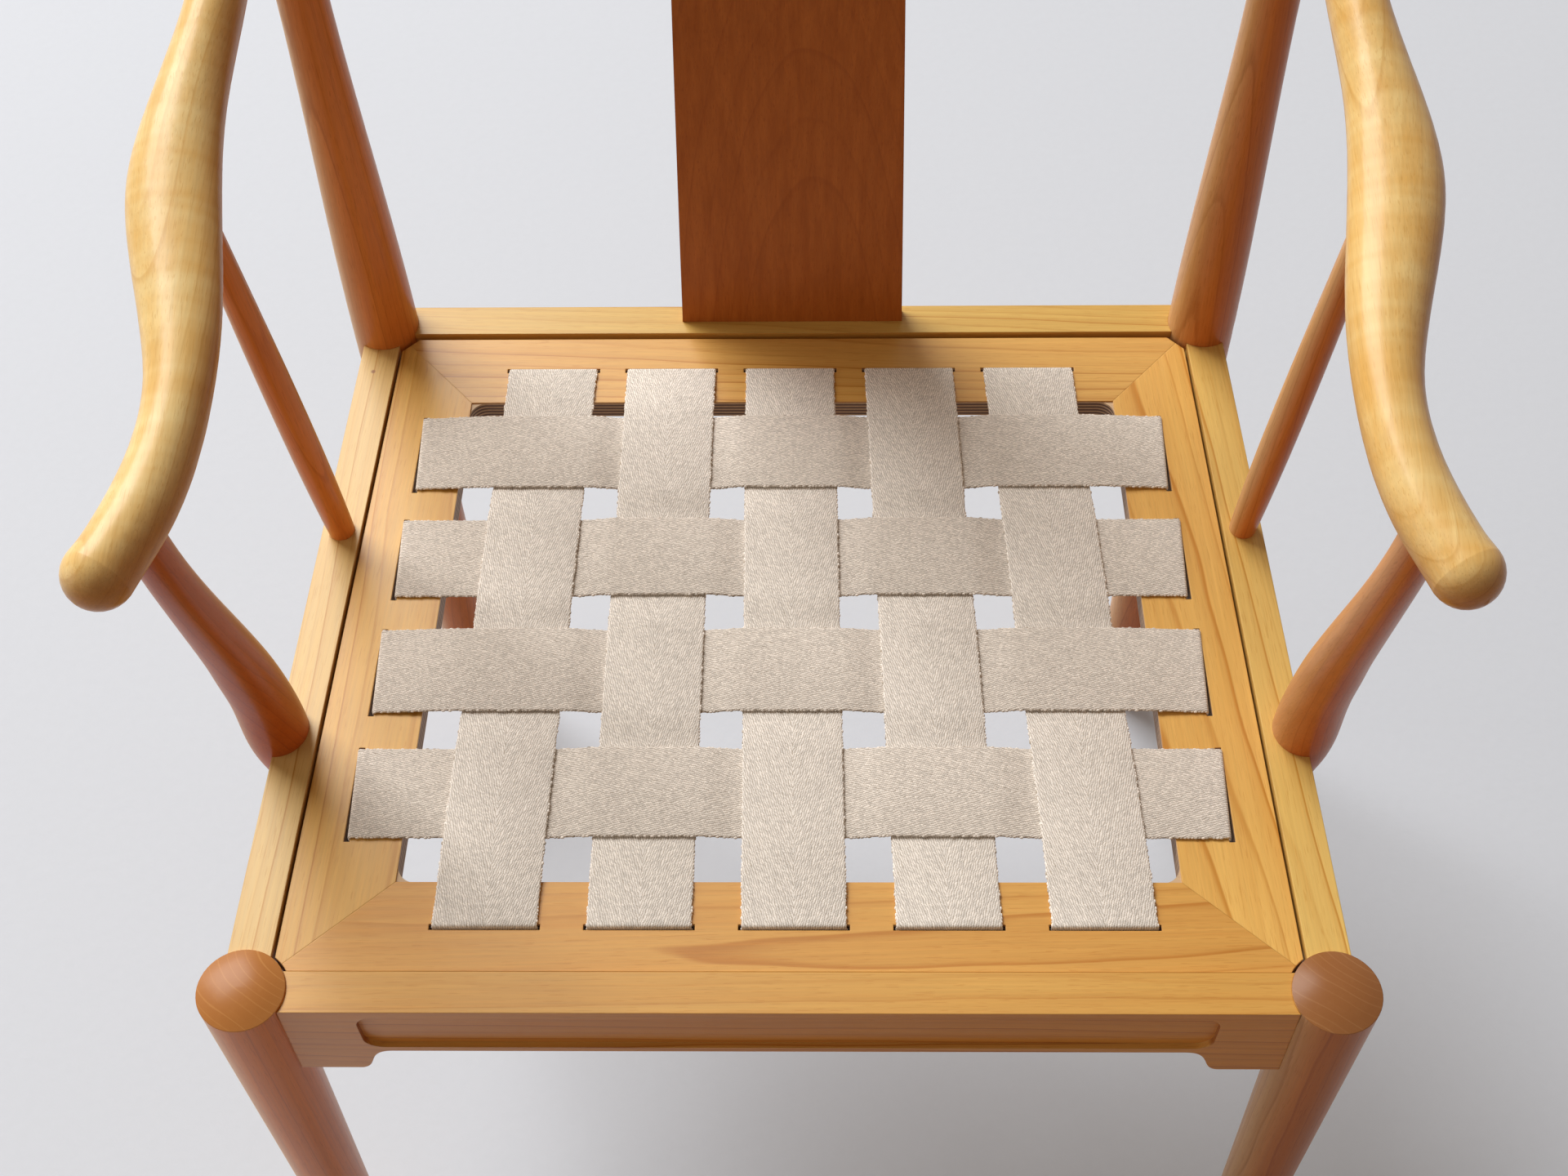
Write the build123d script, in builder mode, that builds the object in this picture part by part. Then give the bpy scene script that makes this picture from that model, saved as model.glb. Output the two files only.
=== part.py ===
from build123d import *
from math import atan2, cos, degrees, radians, sin, sqrt
import os

# Horseshoe back armchair with a woven strap seat.
# Millimetres. X runs to the sitter's left-right, Y to the back, Z up from the floor.
# The chair is the same on both sides of X = 0, apart from the webbing slots.

os.makedirs("parts", exist_ok=True)

# ---------------------------------------------------------------- driving dimensions
# Whole chair
overall_depth = 550.0  # front of the front legs to the back of the crest rail
overall_height = 820.0  # floor to the top of the crest rail
rail_top = 415.0  # floor to the top of the seat rails

# Legs
front_leg_spacing = 504.0  # between the axes, at the seat rails
rear_leg_spacing = 468.0
leg_row_distance = 411.0  # front leg axes to rear leg axes
front_leg_top_diameter = 41.0
front_leg_foot_diameter = 30.0
front_leg_stand_up = 1.5  # leg side above the rails, below the dome
front_leg_dome_rise = 4.0
front_leg_splay_out = 8.5  # foot axis outside the top axis
front_leg_splay_front = 4.0
rear_leg_foot_diameter = 30.0
rear_leg_seat_diameter = 38.0
rear_leg_waist_diameter = 26.0  # where the long taper above the seat ends
rear_leg_waist_height = 195.0  # above the rails
rear_leg_top_diameter = 23.2
rear_leg_foot_rake = 15.0  # foot behind the seat-level axis
rear_leg_foot_splay = 2.0
rear_leg_top_rake = 13.0  # top behind the seat-level axis
rear_leg_top_splay = 3.4
rear_leg_steps = 8  # sections along the turned leg
foot_chamfer = 1.5

# Seat rails
rail_thickness = 20.5
rail_depth = 45.0
back_rail_setback = 4.0  # back rail's middle behind the rear leg axes
bracket_drop = 20.9  # apron brackets below the front rail
bracket_length = 46.0  # from the leg axis to the inner end of the bracket's flat
bracket_curve_length = 18.0
apron_panel_recess = 2.8
apron_panel_top_margin = 6.4  # above the sunk panel
apron_panel_bottom_margin = 4.5
apron_panel_end = 52.0  # from the leg axis to the end of the sunk panel
apron_panel_corner = 9.0
tenon_thickness = 8.0
tenon_height = 26.0
tenon_web = 2.0  # wood left between two tenons that meet in a leg

# Seat panel and its opening
seat_drop = 2.0  # panel top below the rail top
panel_thickness = 12.0
veneer_thickness = 0.8
seat_gap_front = 1.0  # between panel and front rail
seat_gap_side = 1.5
seat_gap_back = 2.7
panel_leg_gap = 1.5  # round the front legs and at the clipped rear corners
opening_front_width = 375.0
opening_rear_width = 359.0
opening_length = 297.7
opening_front_border = 46.0  # panel's front edge to the opening
opening_corner = 9.0

# Webbing
strap_width = 50.0
strap_thickness = 1.6
strap_gap = 0.3  # between straps, and between strap and panel
slot_width = 3.0
slot_length = 52.6
slot_inset_front = 21.0  # panel's front edge to the slots' outer edge
slot_inset_back = 22.3
slot_inset_side = 20.8
lengthwise_pitch_front = 73.0
lengthwise_pitch_back = 67.0
lengthwise_shift_front = 3.2  # the front slots stand this far off the middle
lengthwise_shift_back = -1.0
crosswise_first = 72.8  # front slots to the first crosswise strap
crosswise_pitch = 70.9
strap_tail = 19.0  # from the slot along the underside
lengthwise_count = 5
crosswise_count = 4
weave_flat = 54.0  # level stretch of a strap at each crossing

# Seat cleats
cleat_width = 14.0
cleat_height = 15.0
cleat_clearance = 0.3  # under the panel
cleat_end_gap = 34.0  # from the leg axes to a cleat's end
screw_diameter = 4.0
screw_head_diameter = 8.0
screw_length = 26.0
screw_head_sink = 0.5
screw_spread = 0.36  # share of the cleat, either side of its middle

# Horseshoe rail
arm_tip_height = 662.5  # middle of the arm's end above the floor
rail_rise_to_leg = 73.0  # rise from the arm's end to the rear leg
arm_tip_half = 264.5  # arm's end from the chair's middle
arm_tip_setback = 48.0  # behind the front leg axes
arm_turn_half = 249.5  # where the end starts to turn out
arm_turn_setback = 80.5
arm_waist_half = 240.0
arm_waist_setback = 125.0
arm_bulge_half = 254.5
arm_bulge_setback = 241.0
arm_swell_in = 2.0  # the arm's outward swing runs this far inside the straight way
arm_back_out = 1.5  # and its way back to the rear leg this far outside it
arm_knob_diameter = 28.5
arm_neck_width = 27.5
arm_neck_height = 25.0
arm_bulge_width = 39.5
arm_bulge_height = 27.0
rail_back_width = 25.0  # horseshoe rail behind the arms' flat stretch
crest_height = 32.0
finger_count = 5  # leaves across the rail, arm and crest in turn
finger_length = 28.0
finger_start = 326.0  # along the rail from the arm's end
post_tenon_diameter = 12.0  # rear leg's head in the rail
arm_post_tenon_diameter = 10.0
hole_below = 20.0  # the holes' start below the rail's middle line
hole_past = 3.0  # and their end past it, with room for glue

# Arm posts and spindles
arm_post_setback = 140.5  # foot of the arm post behind the front leg axes
arm_post_foot_diameter = 31.4
arm_post_top_diameter = 18.0
arm_post_lap_diameter = 24.0  # at the lower end of its lap on the rail
arm_post_reach = 60.0  # top ahead of the foot
arm_post_lean_in = 9.5
arm_post_lap = 38.0  # below the rail top, on the rail's outer face
arm_post_dowel_diameter = 8.0
arm_post_dowel_length = 30.0
arm_post_dowel_in_post = 10.0
arm_post_steps = 8  # sections between the rail top and the arm
spindle_setback = 265.0
spindle_end_diameter = 14.0
spindle_middle_diameter = 16.3
spindle_top_diameter = 12.0
spindle_lean_out = 17.5
spindle_lean_front = 8.0
spindle_tenon_diameter = 9.0
spindle_tenon_length = 12.0

# Splat
splat_foot_width = 126.0
splat_top_width = 113.0
splat_thickness = 8.0
splat_front = 2.5  # front face behind the rear leg axes, at the back rail
splat_groove = 8.0  # splat's foot and head in their grooves

# ---------------------------------------------------------------- shared places
front_row_y = -overall_depth / 2 + front_leg_top_diameter / 2
rear_row_y = front_row_y + leg_row_distance
rail_bottom = rail_top - rail_depth
front_half = front_leg_spacing / 2
rear_half = rear_leg_spacing / 2
rail_slope = (front_half - rear_half) / leg_row_distance
rail_angle = degrees(atan2(front_half - rear_half, leg_row_distance))
crest_y = overall_depth / 2 - rail_back_width / 2
crest_z = overall_height - crest_height / 2
tenon_level = (rail_top + rail_bottom) / 2
front_face_y = front_row_y - rail_thickness / 2
front_inner_y = front_row_y + rail_thickness / 2
back_rail_y = rear_row_y + back_rail_setback
back_face_y = back_rail_y - rail_thickness / 2
seat_top = rail_top - seat_drop
panel_bottom = seat_top - panel_thickness
sides = ((-1, "left"), (1, "right"))


def side_rail_x(y):
    """Half distance between the side rails' middles at depth y."""
    return front_half - rail_slope * (y - front_row_y)


def on_side(part, side):
    """The part as built for the right, or its mirror image for the left."""
    return part if side > 0 else mirror(part, about=Plane.YZ, mode=Mode.PRIVATE)


def save(piece, name):
    """Label a finished piece and write it as a STEP file."""
    piece.part.label = name
    export_step(piece.part, f"parts/{name}.step")


def front_leg_axis(z):
    """X and Y of the right front leg's axis at height z."""
    down = (rail_top - z) / rail_top
    return front_half + front_leg_splay_out * down, front_row_y - front_leg_splay_front * down


def rear_leg_axis(z):
    """X and Y of the right rear leg's axis at height z, bent at the seat rails."""
    down = max(0.0, (rail_top - z) / rail_top)
    up = max(0.0, (z - rail_top) / (arm_tip_height + rail_rise_to_leg - rail_top))
    x = rear_half + rear_leg_foot_splay * down**2 + rear_leg_top_splay * up
    return x, rear_row_y + rear_leg_foot_rake * down**2 + rear_leg_top_rake * up

# ---------------------------------------------------------------- leg bodies
# The right legs without their mortises. Other pieces are shaped to them.
leg_side_top = rail_top + front_leg_stand_up
front_foot = Vector(*front_leg_axis(0), 0)
front_leg_line = Vector(*front_leg_axis(leg_side_top), leg_side_top) - front_foot
front_leg_length = front_leg_line.length
front_leg_way = front_leg_line.normalized()


def turning_plane(foot, way):
    """Plane through a leaning axis, with its Y along the axis and its X square to it."""
    square = way.cross(Vector(0, 1, 0)).normalized()
    return Plane(origin=foot, x_dir=square, z_dir=square.cross(way))


with BuildPart() as front_leg_body:
    with BuildSketch(turning_plane(front_foot, front_leg_way)):
        with BuildLine():
            foot_radius = front_leg_foot_diameter / 2
            top_radius = front_leg_top_diameter / 2
            Polyline(
                (0, front_leg_length + front_leg_dome_rise),
                (0, -foot_radius),
                (foot_radius, -foot_radius),
                (foot_radius, 0),
                (top_radius, front_leg_length),
            )
            TangentArc(
                (0, front_leg_length + front_leg_dome_rise), (top_radius, front_leg_length), tangent=(1, 0)
            )
        make_face()
    revolve(axis=Axis(front_foot, front_leg_way))
    split(bisect_by=Plane.XY, keep=Keep.TOP)
    chamfer(front_leg_body.faces().sort_by(Axis.Z)[0].edges(), foot_chamfer)

rear_post_top = arm_tip_height + rail_rise_to_leg


def rear_leg_diameter(z):
    """Rear leg's diameter at height z: thickest at the seat, waisted above it."""
    if z <= rail_top:
        growth = rear_leg_seat_diameter - rear_leg_foot_diameter
        return rear_leg_foot_diameter + growth * (z / rail_top) * (2 - z / rail_top)
    share = min(1, (z - rail_top) / rear_leg_waist_height)
    tapered = rear_leg_seat_diameter - (rear_leg_seat_diameter - rear_leg_waist_diameter) * share**1.2
    past = max(0, z - rail_top - rear_leg_waist_height) / (rear_post_top - rail_top - rear_leg_waist_height)
    return tapered - (rear_leg_waist_diameter - rear_leg_top_diameter) * past


rear_leg_levels = [rear_post_top * step / rear_leg_steps for step in range(rear_leg_steps + 1)]
with BuildPart() as rear_leg_body:
    for z in rear_leg_levels:
        with BuildSketch(Plane.XY.offset(z)):
            with Locations(rear_leg_axis(z)):
                Circle(rear_leg_diameter(z) / 2)
    loft()
    chamfer(rear_leg_body.faces().sort_by(Axis.Z)[0].edges(), foot_chamfer)

# ---------------------------------------------------------------- horseshoe rail
# One bar from arm end to arm end, cut into arms and crest further down.
arm_tip_y = front_row_y + arm_tip_setback
post_x, post_y = rear_leg_axis(rear_post_top)


def arm_height(y):
    """Middle of the arm above the floor: a rise that grows to the back."""
    along = (y - arm_tip_y) / (post_y - arm_tip_y)
    return arm_tip_height + rail_rise_to_leg * (0.46 * along + 0.54 * along**2)


def arm_point(x, setback):
    """Point of the arm's middle line."""
    y = front_row_y + setback
    return Vector(x, y, arm_height(y))


def crest_point(across, back, rise):
    """Point behind the rear leg, by shares of the way from the leg to the crest's middle."""
    z = rear_post_top + rise * (crest_z - rear_post_top)
    return Vector(post_x * across, post_y + back * (crest_y - post_y), z)


swell_half = (2 * arm_waist_half + 3 * arm_bulge_half) / 5 - arm_swell_in
swell_setback = (2 * arm_waist_setback + 3 * arm_bulge_setback) / 5
right_points = [
    arm_point(arm_tip_half, arm_tip_setback),
    arm_point(arm_turn_half, arm_turn_setback),
    arm_point(arm_waist_half, arm_waist_setback),
    arm_point(swell_half, swell_setback),
    arm_point(arm_bulge_half, arm_bulge_setback),
    arm_point((arm_bulge_half + post_x) / 2 + arm_back_out, (arm_bulge_setback + post_y - front_row_y) / 2),
    crest_point(1, 0, 0),
    crest_point(0.89, 0.50, 0.24),
    crest_point(0.62, 0.84, 0.60),
    crest_point(0.30, 0.97, 0.88),
    crest_point(0, 1, 1),
]
left_points = [Vector(-point.X, point.Y, point.Z) for point in reversed(right_points[:-1])]
with BuildLine() as rail_line:
    Spline(right_points + left_points)
rail_edge = rail_line.edges()[0]
rail_length = rail_edge.length / 2  # arm's end to the crest's middle

# Distance from the arm's end, width and height of the rail there.
knob = arm_knob_diameter / 2
rail_sections = [
    (knob, arm_knob_diameter, arm_knob_diameter),
    (2.6 * knob, arm_knob_diameter - 0.5, arm_knob_diameter - 2),
    (4.2 * knob, arm_neck_width, arm_neck_height + 0.5),
    (0.47 * arm_bulge_setback - knob, arm_neck_width, arm_neck_height),
    (0.54 * arm_bulge_setback, (arm_neck_width + arm_bulge_width) / 2 - 1, arm_neck_height + 0.5),
    (0.70 * arm_bulge_setback, arm_bulge_width - 1.5, arm_bulge_height - 0.5),
    (0.83 * arm_bulge_setback, arm_bulge_width, arm_bulge_height),
    (1.01 * arm_bulge_setback, (arm_bulge_width + rail_back_width) / 2, arm_bulge_height),
    (1.22 * arm_bulge_setback, rail_back_width + 0.4, arm_bulge_height + 0.5),
    (0.50 * rail_length, rail_back_width, arm_bulge_height + 1),
    (0.58 * rail_length, rail_back_width, (arm_bulge_height + crest_height) / 2),
    (0.66 * rail_length, rail_back_width, crest_height - 2),
    (0.74 * rail_length, rail_back_width, crest_height - 1.5),
    (0.82 * rail_length, rail_back_width, crest_height - 1),
    (0.91 * rail_length, rail_back_width, crest_height - 0.5),
    (rail_length, rail_back_width, crest_height),
]


def rail_plane(distance):
    """Plane square to the rail, with its X axis level and pointing away from the sitter."""
    way = rail_edge.tangent_at(distance, position_mode=PositionMode.LENGTH)
    level = way.cross(Vector(0, 0, 1)).normalized()
    origin = rail_edge.position_at(distance, position_mode=PositionMode.LENGTH)
    return Plane(origin=origin, x_dir=level, z_dir=way)


left_sections = [
    (2 * rail_length - distance, width, height) for distance, width, height in reversed(rail_sections[:-1])
]
with BuildPart() as whole_rail:
    for distance, width, height in rail_sections + left_sections:
        with BuildSketch(rail_plane(distance)):
            Ellipse(width / 2, height / 2)
    loft()

# The arm's end is a half ball on the first section.
knob_plane = rail_plane(knob)
with BuildPart() as arm_end:
    with BuildSketch(Plane(origin=knob_plane.origin, x_dir=knob_plane.z_dir * -1, z_dir=knob_plane.x_dir)):
        Circle(knob, arc_size=90, align=None)
    revolve(axis=Axis(knob_plane.origin, knob_plane.z_dir))

with BuildPart() as rail_half:
    add(whole_rail.part)
    split(bisect_by=Plane.YZ, keep=Keep.TOP)
    add(arm_end.part)

# The arm's share of the rail: all in front of the joint, and every other finger.
finger_thickness = rail_back_width / finger_count
finger_height = 2 * crest_height
with BuildPart() as arm_share:
    with BuildSketch(rail_plane(finger_start)):
        Rectangle(front_leg_spacing / 2, rail_top)
    extrude(amount=-2 * finger_start)
    with BuildSketch(rail_plane(finger_start)):
        for leaf in range(0, finger_count, 2):
            outer = leaf in (0, finger_count - 1)
            breadth = finger_thickness * (3 if outer else 1)
            middle = (leaf - (finger_count - 1) / 2) * finger_thickness
            shift = finger_thickness * (0 if not outer else (-1 if leaf == 0 else 1))
            with Locations((middle + shift, 0)):
                Rectangle(breadth, finger_height)
    extrude(amount=finger_length)

# ---------------------------------------------------------------- splat
splat_front_y = rear_row_y + splat_front
splat_head_z = crest_z - crest_height / 2 + splat_groove
splat_foot_z = rail_top - splat_groove
splat_rise = splat_head_z - rail_top
splat_run = crest_y - splat_thickness / 2 - splat_front_y
splat_bend = ((0, 0), (0.44, 0.52), (1, 1))  # shares of run and rise
with BuildPart() as splat:
    with BuildSketch(Plane.YZ):
        with BuildLine():
            front_bend = [
                (splat_front_y + run * splat_run, rail_top + rise * splat_rise) for run, rise in splat_bend
            ]
            back_bend = [(y + splat_thickness, z) for y, z in front_bend]
            Spline(front_bend)
            Line(front_bend[-1], back_bend[-1])
            Spline(back_bend)
            Polyline(
                back_bend[0],
                (back_bend[0][0], splat_foot_z),
                (front_bend[0][0], splat_foot_z),
                front_bend[0],
            )
        make_face()
    extrude(amount=splat_foot_width, both=True)
    with BuildSketch(Plane.XZ):
        Polygon(
            (-splat_foot_width / 2, splat_foot_z),
            (splat_foot_width / 2, splat_foot_z),
            (splat_foot_width / 2, rail_top),
            (splat_top_width / 2, splat_head_z),
            (-splat_top_width / 2, splat_head_z),
            (-splat_foot_width / 2, rail_top),
            align=None,
        )
    extrude(amount=overall_depth, both=True, mode=Mode.INTERSECT)
save(splat, "splat")

# ---------------------------------------------------------------- seat cleats and their screws
cleat_top = panel_bottom - cleat_clearance
cleat_middle = cleat_top - cleat_height / 2


def screw(head, way):
    """Countersunk wood screw, head outward, as a private solid."""
    cone_depth = (screw_head_diameter - screw_diameter) / 2
    profile = Polygon(
        (0, 0),
        (screw_head_diameter / 2, 0),
        (screw_diameter / 2, cone_depth),
        (screw_diameter / 2, screw_length - cone_depth),
        (0, screw_length),
        align=None,
    )
    return Plane(origin=head, z_dir=way) * revolve(Plane.XZ * profile, axis=Axis.Z)


# Middle of each cleat's face on the rail, the way its screws point, and its length.
side_cleat_start = front_row_y + cleat_end_gap
side_cleat_end = rear_row_y - cleat_end_gap
side_cleat_y = (side_cleat_start + side_cleat_end) / 2
side_cleat_x = side_rail_x(side_cleat_y) - rail_thickness / 2
side_cleat_length = (side_cleat_end - side_cleat_start) / cos(radians(rail_angle))
side_way = Vector(cos(radians(rail_angle)), sin(radians(rail_angle)), 0)
front_cleat_length = front_leg_spacing - 2 * cleat_end_gap
back_cleat_length = rear_leg_spacing - 2 * cleat_end_gap
left_way = Vector(-side_way.X, side_way.Y, 0)
cleats = (
    ("front", Vector(0, front_inner_y, cleat_middle), Vector(0, -1, 0), front_cleat_length),
    ("back", Vector(0, back_face_y, cleat_middle), Vector(0, 1, 0), back_cleat_length),
    ("left", Vector(-side_cleat_x, side_cleat_y, cleat_middle), left_way, side_cleat_length),
    ("right", Vector(side_cleat_x, side_cleat_y, cleat_middle), side_way, side_cleat_length),
)
screws = {}
for word, seat_middle, way, length in cleats:
    along = way.cross(Vector(0, 0, 1))
    inner_middle = seat_middle - way * cleat_width
    head_line = inner_middle + way * screw_head_sink
    places = [head_line + along * (share * length) for share in (-screw_spread, screw_spread)]
    screws[word] = [screw(place, way) for place in places]
    with BuildPart() as cleat:
        with BuildSketch(Plane(origin=inner_middle, x_dir=along, z_dir=way)):
            Rectangle(length, cleat_height)
        extrude(amount=cleat_width)
        for fastener in screws[word]:
            add(fastener, mode=Mode.SUBTRACT)
    save(cleat, f"cleat_{word}")

with BuildPart() as cleat_screws:
    for word in screws:
        for fastener in screws[word]:
            add(fastener)
save(cleat_screws, "cleat_screws")

# ---------------------------------------------------------------- seat rails
front_tenon_end = front_half - tenon_thickness / 2 - tenon_web
rear_tenon_end = rear_half - tenon_thickness / 2 - tenon_web
with BuildPart() as front_rail_tenons:
    with Locations((0, front_row_y, tenon_level)):
        Box(2 * front_tenon_end, tenon_thickness, tenon_height)
with BuildPart() as back_rail_tenons:
    with Locations((0, rear_row_y + back_rail_setback, tenon_level)):
        Box(2 * rear_tenon_end, tenon_thickness, tenon_height)
with BuildPart() as side_rail_tenons:
    tenon_near = front_row_y + tenon_thickness / 2 + tenon_web
    tenon_far = rear_row_y - tenon_thickness / 2 - tenon_web
    with BuildSketch(Plane.XY.offset(tenon_level - tenon_height / 2)):
        with BuildLine():
            Polyline(
                (side_rail_x(tenon_near) - tenon_thickness / 2, tenon_near),
                (side_rail_x(tenon_near) + tenon_thickness / 2, tenon_near),
                (side_rail_x(tenon_far) + tenon_thickness / 2, tenon_far),
                (side_rail_x(tenon_far) - tenon_thickness / 2, tenon_far),
                close=True,
            )
        make_face()
    extrude(amount=tenon_height)

with BuildPart() as side_rail_body:
    with BuildSketch(Plane.XY.offset(rail_bottom)):
        with BuildLine():
            Polyline(
                (front_half - rail_thickness / 2, front_row_y),
                (front_half + rail_thickness / 2, front_row_y),
                (rear_half + rail_thickness / 2, rear_row_y),
                (rear_half - rail_thickness / 2, rear_row_y),
                close=True,
            )
        make_face()
    extrude(amount=rail_depth)
    add(front_leg_body.part, mode=Mode.SUBTRACT)
    add(rear_leg_body.part, mode=Mode.SUBTRACT)

bracket_bottom = rail_bottom - bracket_drop
bracket_inner = front_half - bracket_length
bracket_curve_end = bracket_inner - bracket_curve_length
front_face_plane = Plane(origin=(0, front_face_y, 0), x_dir=(1, 0, 0), z_dir=(0, -1, 0))
with BuildPart() as front_rail:
    with BuildSketch(front_face_plane):
        for side, word in sides:
            with BuildLine():
                Line((0, rail_top), (side * front_half, rail_top))
                Line((side * front_half, rail_top), (side * front_half, bracket_bottom))
                Line((side * front_half, bracket_bottom), (side * bracket_inner, bracket_bottom))
                curve_middle = bracket_inner - 0.37 * bracket_curve_length
                Spline(
                    (side * bracket_inner, bracket_bottom),
                    (side * curve_middle, bracket_bottom + 0.5 * bracket_drop),
                    (side * bracket_curve_end, rail_bottom),
                    tangents=((-side, 0.35), (-side, 0)),
                )
                Line((side * bracket_curve_end, rail_bottom), (0, rail_bottom))
                Line((0, rail_bottom), (0, rail_top))
            make_face()
    extrude(amount=-rail_thickness)
    apron_panel_half = front_half - apron_panel_end
    apron_panel_top = rail_top - apron_panel_top_margin
    apron_panel_height = apron_panel_top - rail_bottom - apron_panel_bottom_margin
    with BuildSketch(front_face_plane):
        with Locations((0, apron_panel_top - apron_panel_height / 2)):
            RectangleRounded(2 * apron_panel_half, apron_panel_height, apron_panel_corner)
    extrude(amount=-apron_panel_recess, mode=Mode.SUBTRACT)
    for side, word in sides:
        add(on_side(front_leg_body.part, side), mode=Mode.SUBTRACT)
    add(front_rail_tenons.part)
    for fastener in screws["front"]:
        add(fastener, mode=Mode.SUBTRACT)
save(front_rail, "front_rail")

with BuildPart() as back_rail:
    with Locations((0, back_rail_y, tenon_level)):
        Box(rear_leg_spacing, rail_thickness, rail_depth)
    for side, word in sides:
        add(on_side(rear_leg_body.part, side), mode=Mode.SUBTRACT)
    add(back_rail_tenons.part)
    for fastener in screws["back"]:
        add(fastener, mode=Mode.SUBTRACT)
    add(splat.part, mode=Mode.SUBTRACT)
save(back_rail, "back_rail")

# ---------------------------------------------------------------- arm posts and spindles
arm_post_y = front_row_y + arm_post_setback
arm_post_x = side_rail_x(arm_post_y) + rail_thickness / 2
arm_post_head = arm_height(arm_post_y - arm_post_reach)
arm_post_height = arm_post_head - rail_top


def arm_post_station(level):
    """Distance ahead of the foot and diameter of the arm post at a level above the rail top."""
    rise = level / arm_post_height
    if level < 0:
        fall = -level / arm_post_lap
        narrowing = (arm_post_foot_diameter - arm_post_lap_diameter) * fall**1.5
        return 0.3 * arm_post_reach * rise, arm_post_foot_diameter - narrowing
    ahead = arm_post_reach * (0.3 * rise + 1.67 * rise**2 - 0.97 * rise**3)
    taper = (1 - rise) ** 2 * (1 + 1.5 * rise)
    return ahead, arm_post_top_diameter + (arm_post_foot_diameter - arm_post_top_diameter) * taper


arm_post_levels = [-arm_post_lap, -arm_post_lap / 2]
arm_post_levels += [arm_post_height * step / arm_post_steps for step in range(arm_post_steps + 1)]
with BuildPart() as arm_post_body:
    for level in arm_post_levels:
        ahead, diameter = arm_post_station(level)
        lean = arm_post_lean_in * max(0, level) / arm_post_height
        with BuildSketch(Plane.XY.offset(rail_top + level)):
            with Locations((arm_post_x - lean, arm_post_y - ahead)):
                Circle(diameter / 2)
    loft()

spindle_y = front_row_y + spindle_setback
spindle_x = side_rail_x(spindle_y)
spindle_head = arm_height(spindle_y - spindle_lean_front)
spindle_rise = spindle_head - rail_top
spindle_foot_point = Vector(spindle_x, spindle_y, rail_top)
spindle_line = Vector(spindle_lean_out, -spindle_lean_front, spindle_rise)
spindle_length = spindle_line.length
spindle_way = spindle_line.normalized()
with BuildPart() as spindle_body:
    with BuildSketch(turning_plane(spindle_foot_point, spindle_way)):
        with BuildLine():
            end_radius = spindle_end_diameter / 2
            belly = [
                (end_radius, 0),
                (spindle_middle_diameter / 2, 0.36 * spindle_length),
                (end_radius + 0.2, 0.66 * spindle_length),
                (spindle_top_diameter / 2, spindle_length),
            ]
            Spline(belly)
            Polyline(belly[-1], (0, spindle_length), (0, -end_radius), (end_radius, -end_radius), belly[0])
        make_face()
    revolve(axis=Axis(spindle_foot_point, spindle_way))


def tenon(foot, way, diameter, length):
    """Round tenon or dowel as a private solid, from a point along a direction."""
    return Plane(origin=foot, z_dir=way) * Cylinder(
        diameter / 2, length, align=(Align.CENTER, Align.CENTER, Align.MIN), mode=Mode.PRIVATE
    )


# Round tenons that stand into the horseshoe rail and the side rails.
arm_post_head_point = Vector(arm_post_x - arm_post_lean_in, arm_post_y - arm_post_reach, arm_post_head)
arm_post_head_way = Vector(
    -arm_post_lean_in / arm_post_steps,
    arm_post_station(arm_post_levels[-2])[0] - arm_post_reach,
    arm_post_height / arm_post_steps,
).normalized()
spindle_head_point = spindle_foot_point + spindle_line
post_top_point = Vector(post_x, post_y, rear_post_top)
post_way = Vector(rear_leg_top_splay, rear_leg_top_rake, rear_post_top - rail_top).normalized()

# Each hole starts below the rail's underside and ends past the rail's middle line.
hole_length = hole_below + hole_past
post_tenon = tenon(post_top_point - post_way * hole_below, post_way, post_tenon_diameter, hole_length)
arm_post_tenon = tenon(
    arm_post_head_point - arm_post_head_way * hole_below,
    arm_post_head_way,
    arm_post_tenon_diameter,
    hole_length,
)
spindle_head_tenon = tenon(
    spindle_head_point - spindle_way * hole_below,
    spindle_way,
    spindle_tenon_diameter,
    hole_length,
)
spindle_foot_tenon = tenon(
    spindle_foot_point + spindle_way * spindle_tenon_length / 2,
    spindle_way * -1,
    spindle_tenon_diameter,
    1.5 * spindle_tenon_length,
)
dowel_in_rail = arm_post_dowel_length - arm_post_dowel_in_post
dowel_start = Vector(arm_post_x - dowel_in_rail, arm_post_y, rail_top - 0.5 * arm_post_lap)
arm_post_dowel = tenon(dowel_start, Vector(1, 0, 0), arm_post_dowel_diameter, arm_post_dowel_length)

with BuildPart() as drilled_rail:
    add(rail_half.part)
    for hole in (post_tenon, arm_post_tenon, spindle_head_tenon):
        add(hole, mode=Mode.SUBTRACT)

with BuildPart() as arm_post:
    add(arm_post_body.part)
    add(side_rail_body.part, mode=Mode.SUBTRACT)
    add(drilled_rail.part, mode=Mode.SUBTRACT)
    add(arm_post_dowel, mode=Mode.SUBTRACT)

with BuildPart() as spindle:
    add(spindle_body.part)
    add(side_rail_body.part, mode=Mode.SUBTRACT)
    add(drilled_rail.part, mode=Mode.SUBTRACT)
    add(spindle_foot_tenon)

# ---------------------------------------------------------------- side rails

with BuildPart() as side_rail:
    add(side_rail_body.part)
    add(side_rail_tenons.part)
    add(spindle_foot_tenon, mode=Mode.SUBTRACT)
    add(arm_post_dowel, mode=Mode.SUBTRACT)
    for fastener in screws["right"]:
        add(fastener, mode=Mode.SUBTRACT)

with BuildPart() as arm_post_dowels:
    for side, word in sides:
        add(on_side(arm_post_dowel, side))
save(arm_post_dowels, "arm_post_dowels")

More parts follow.
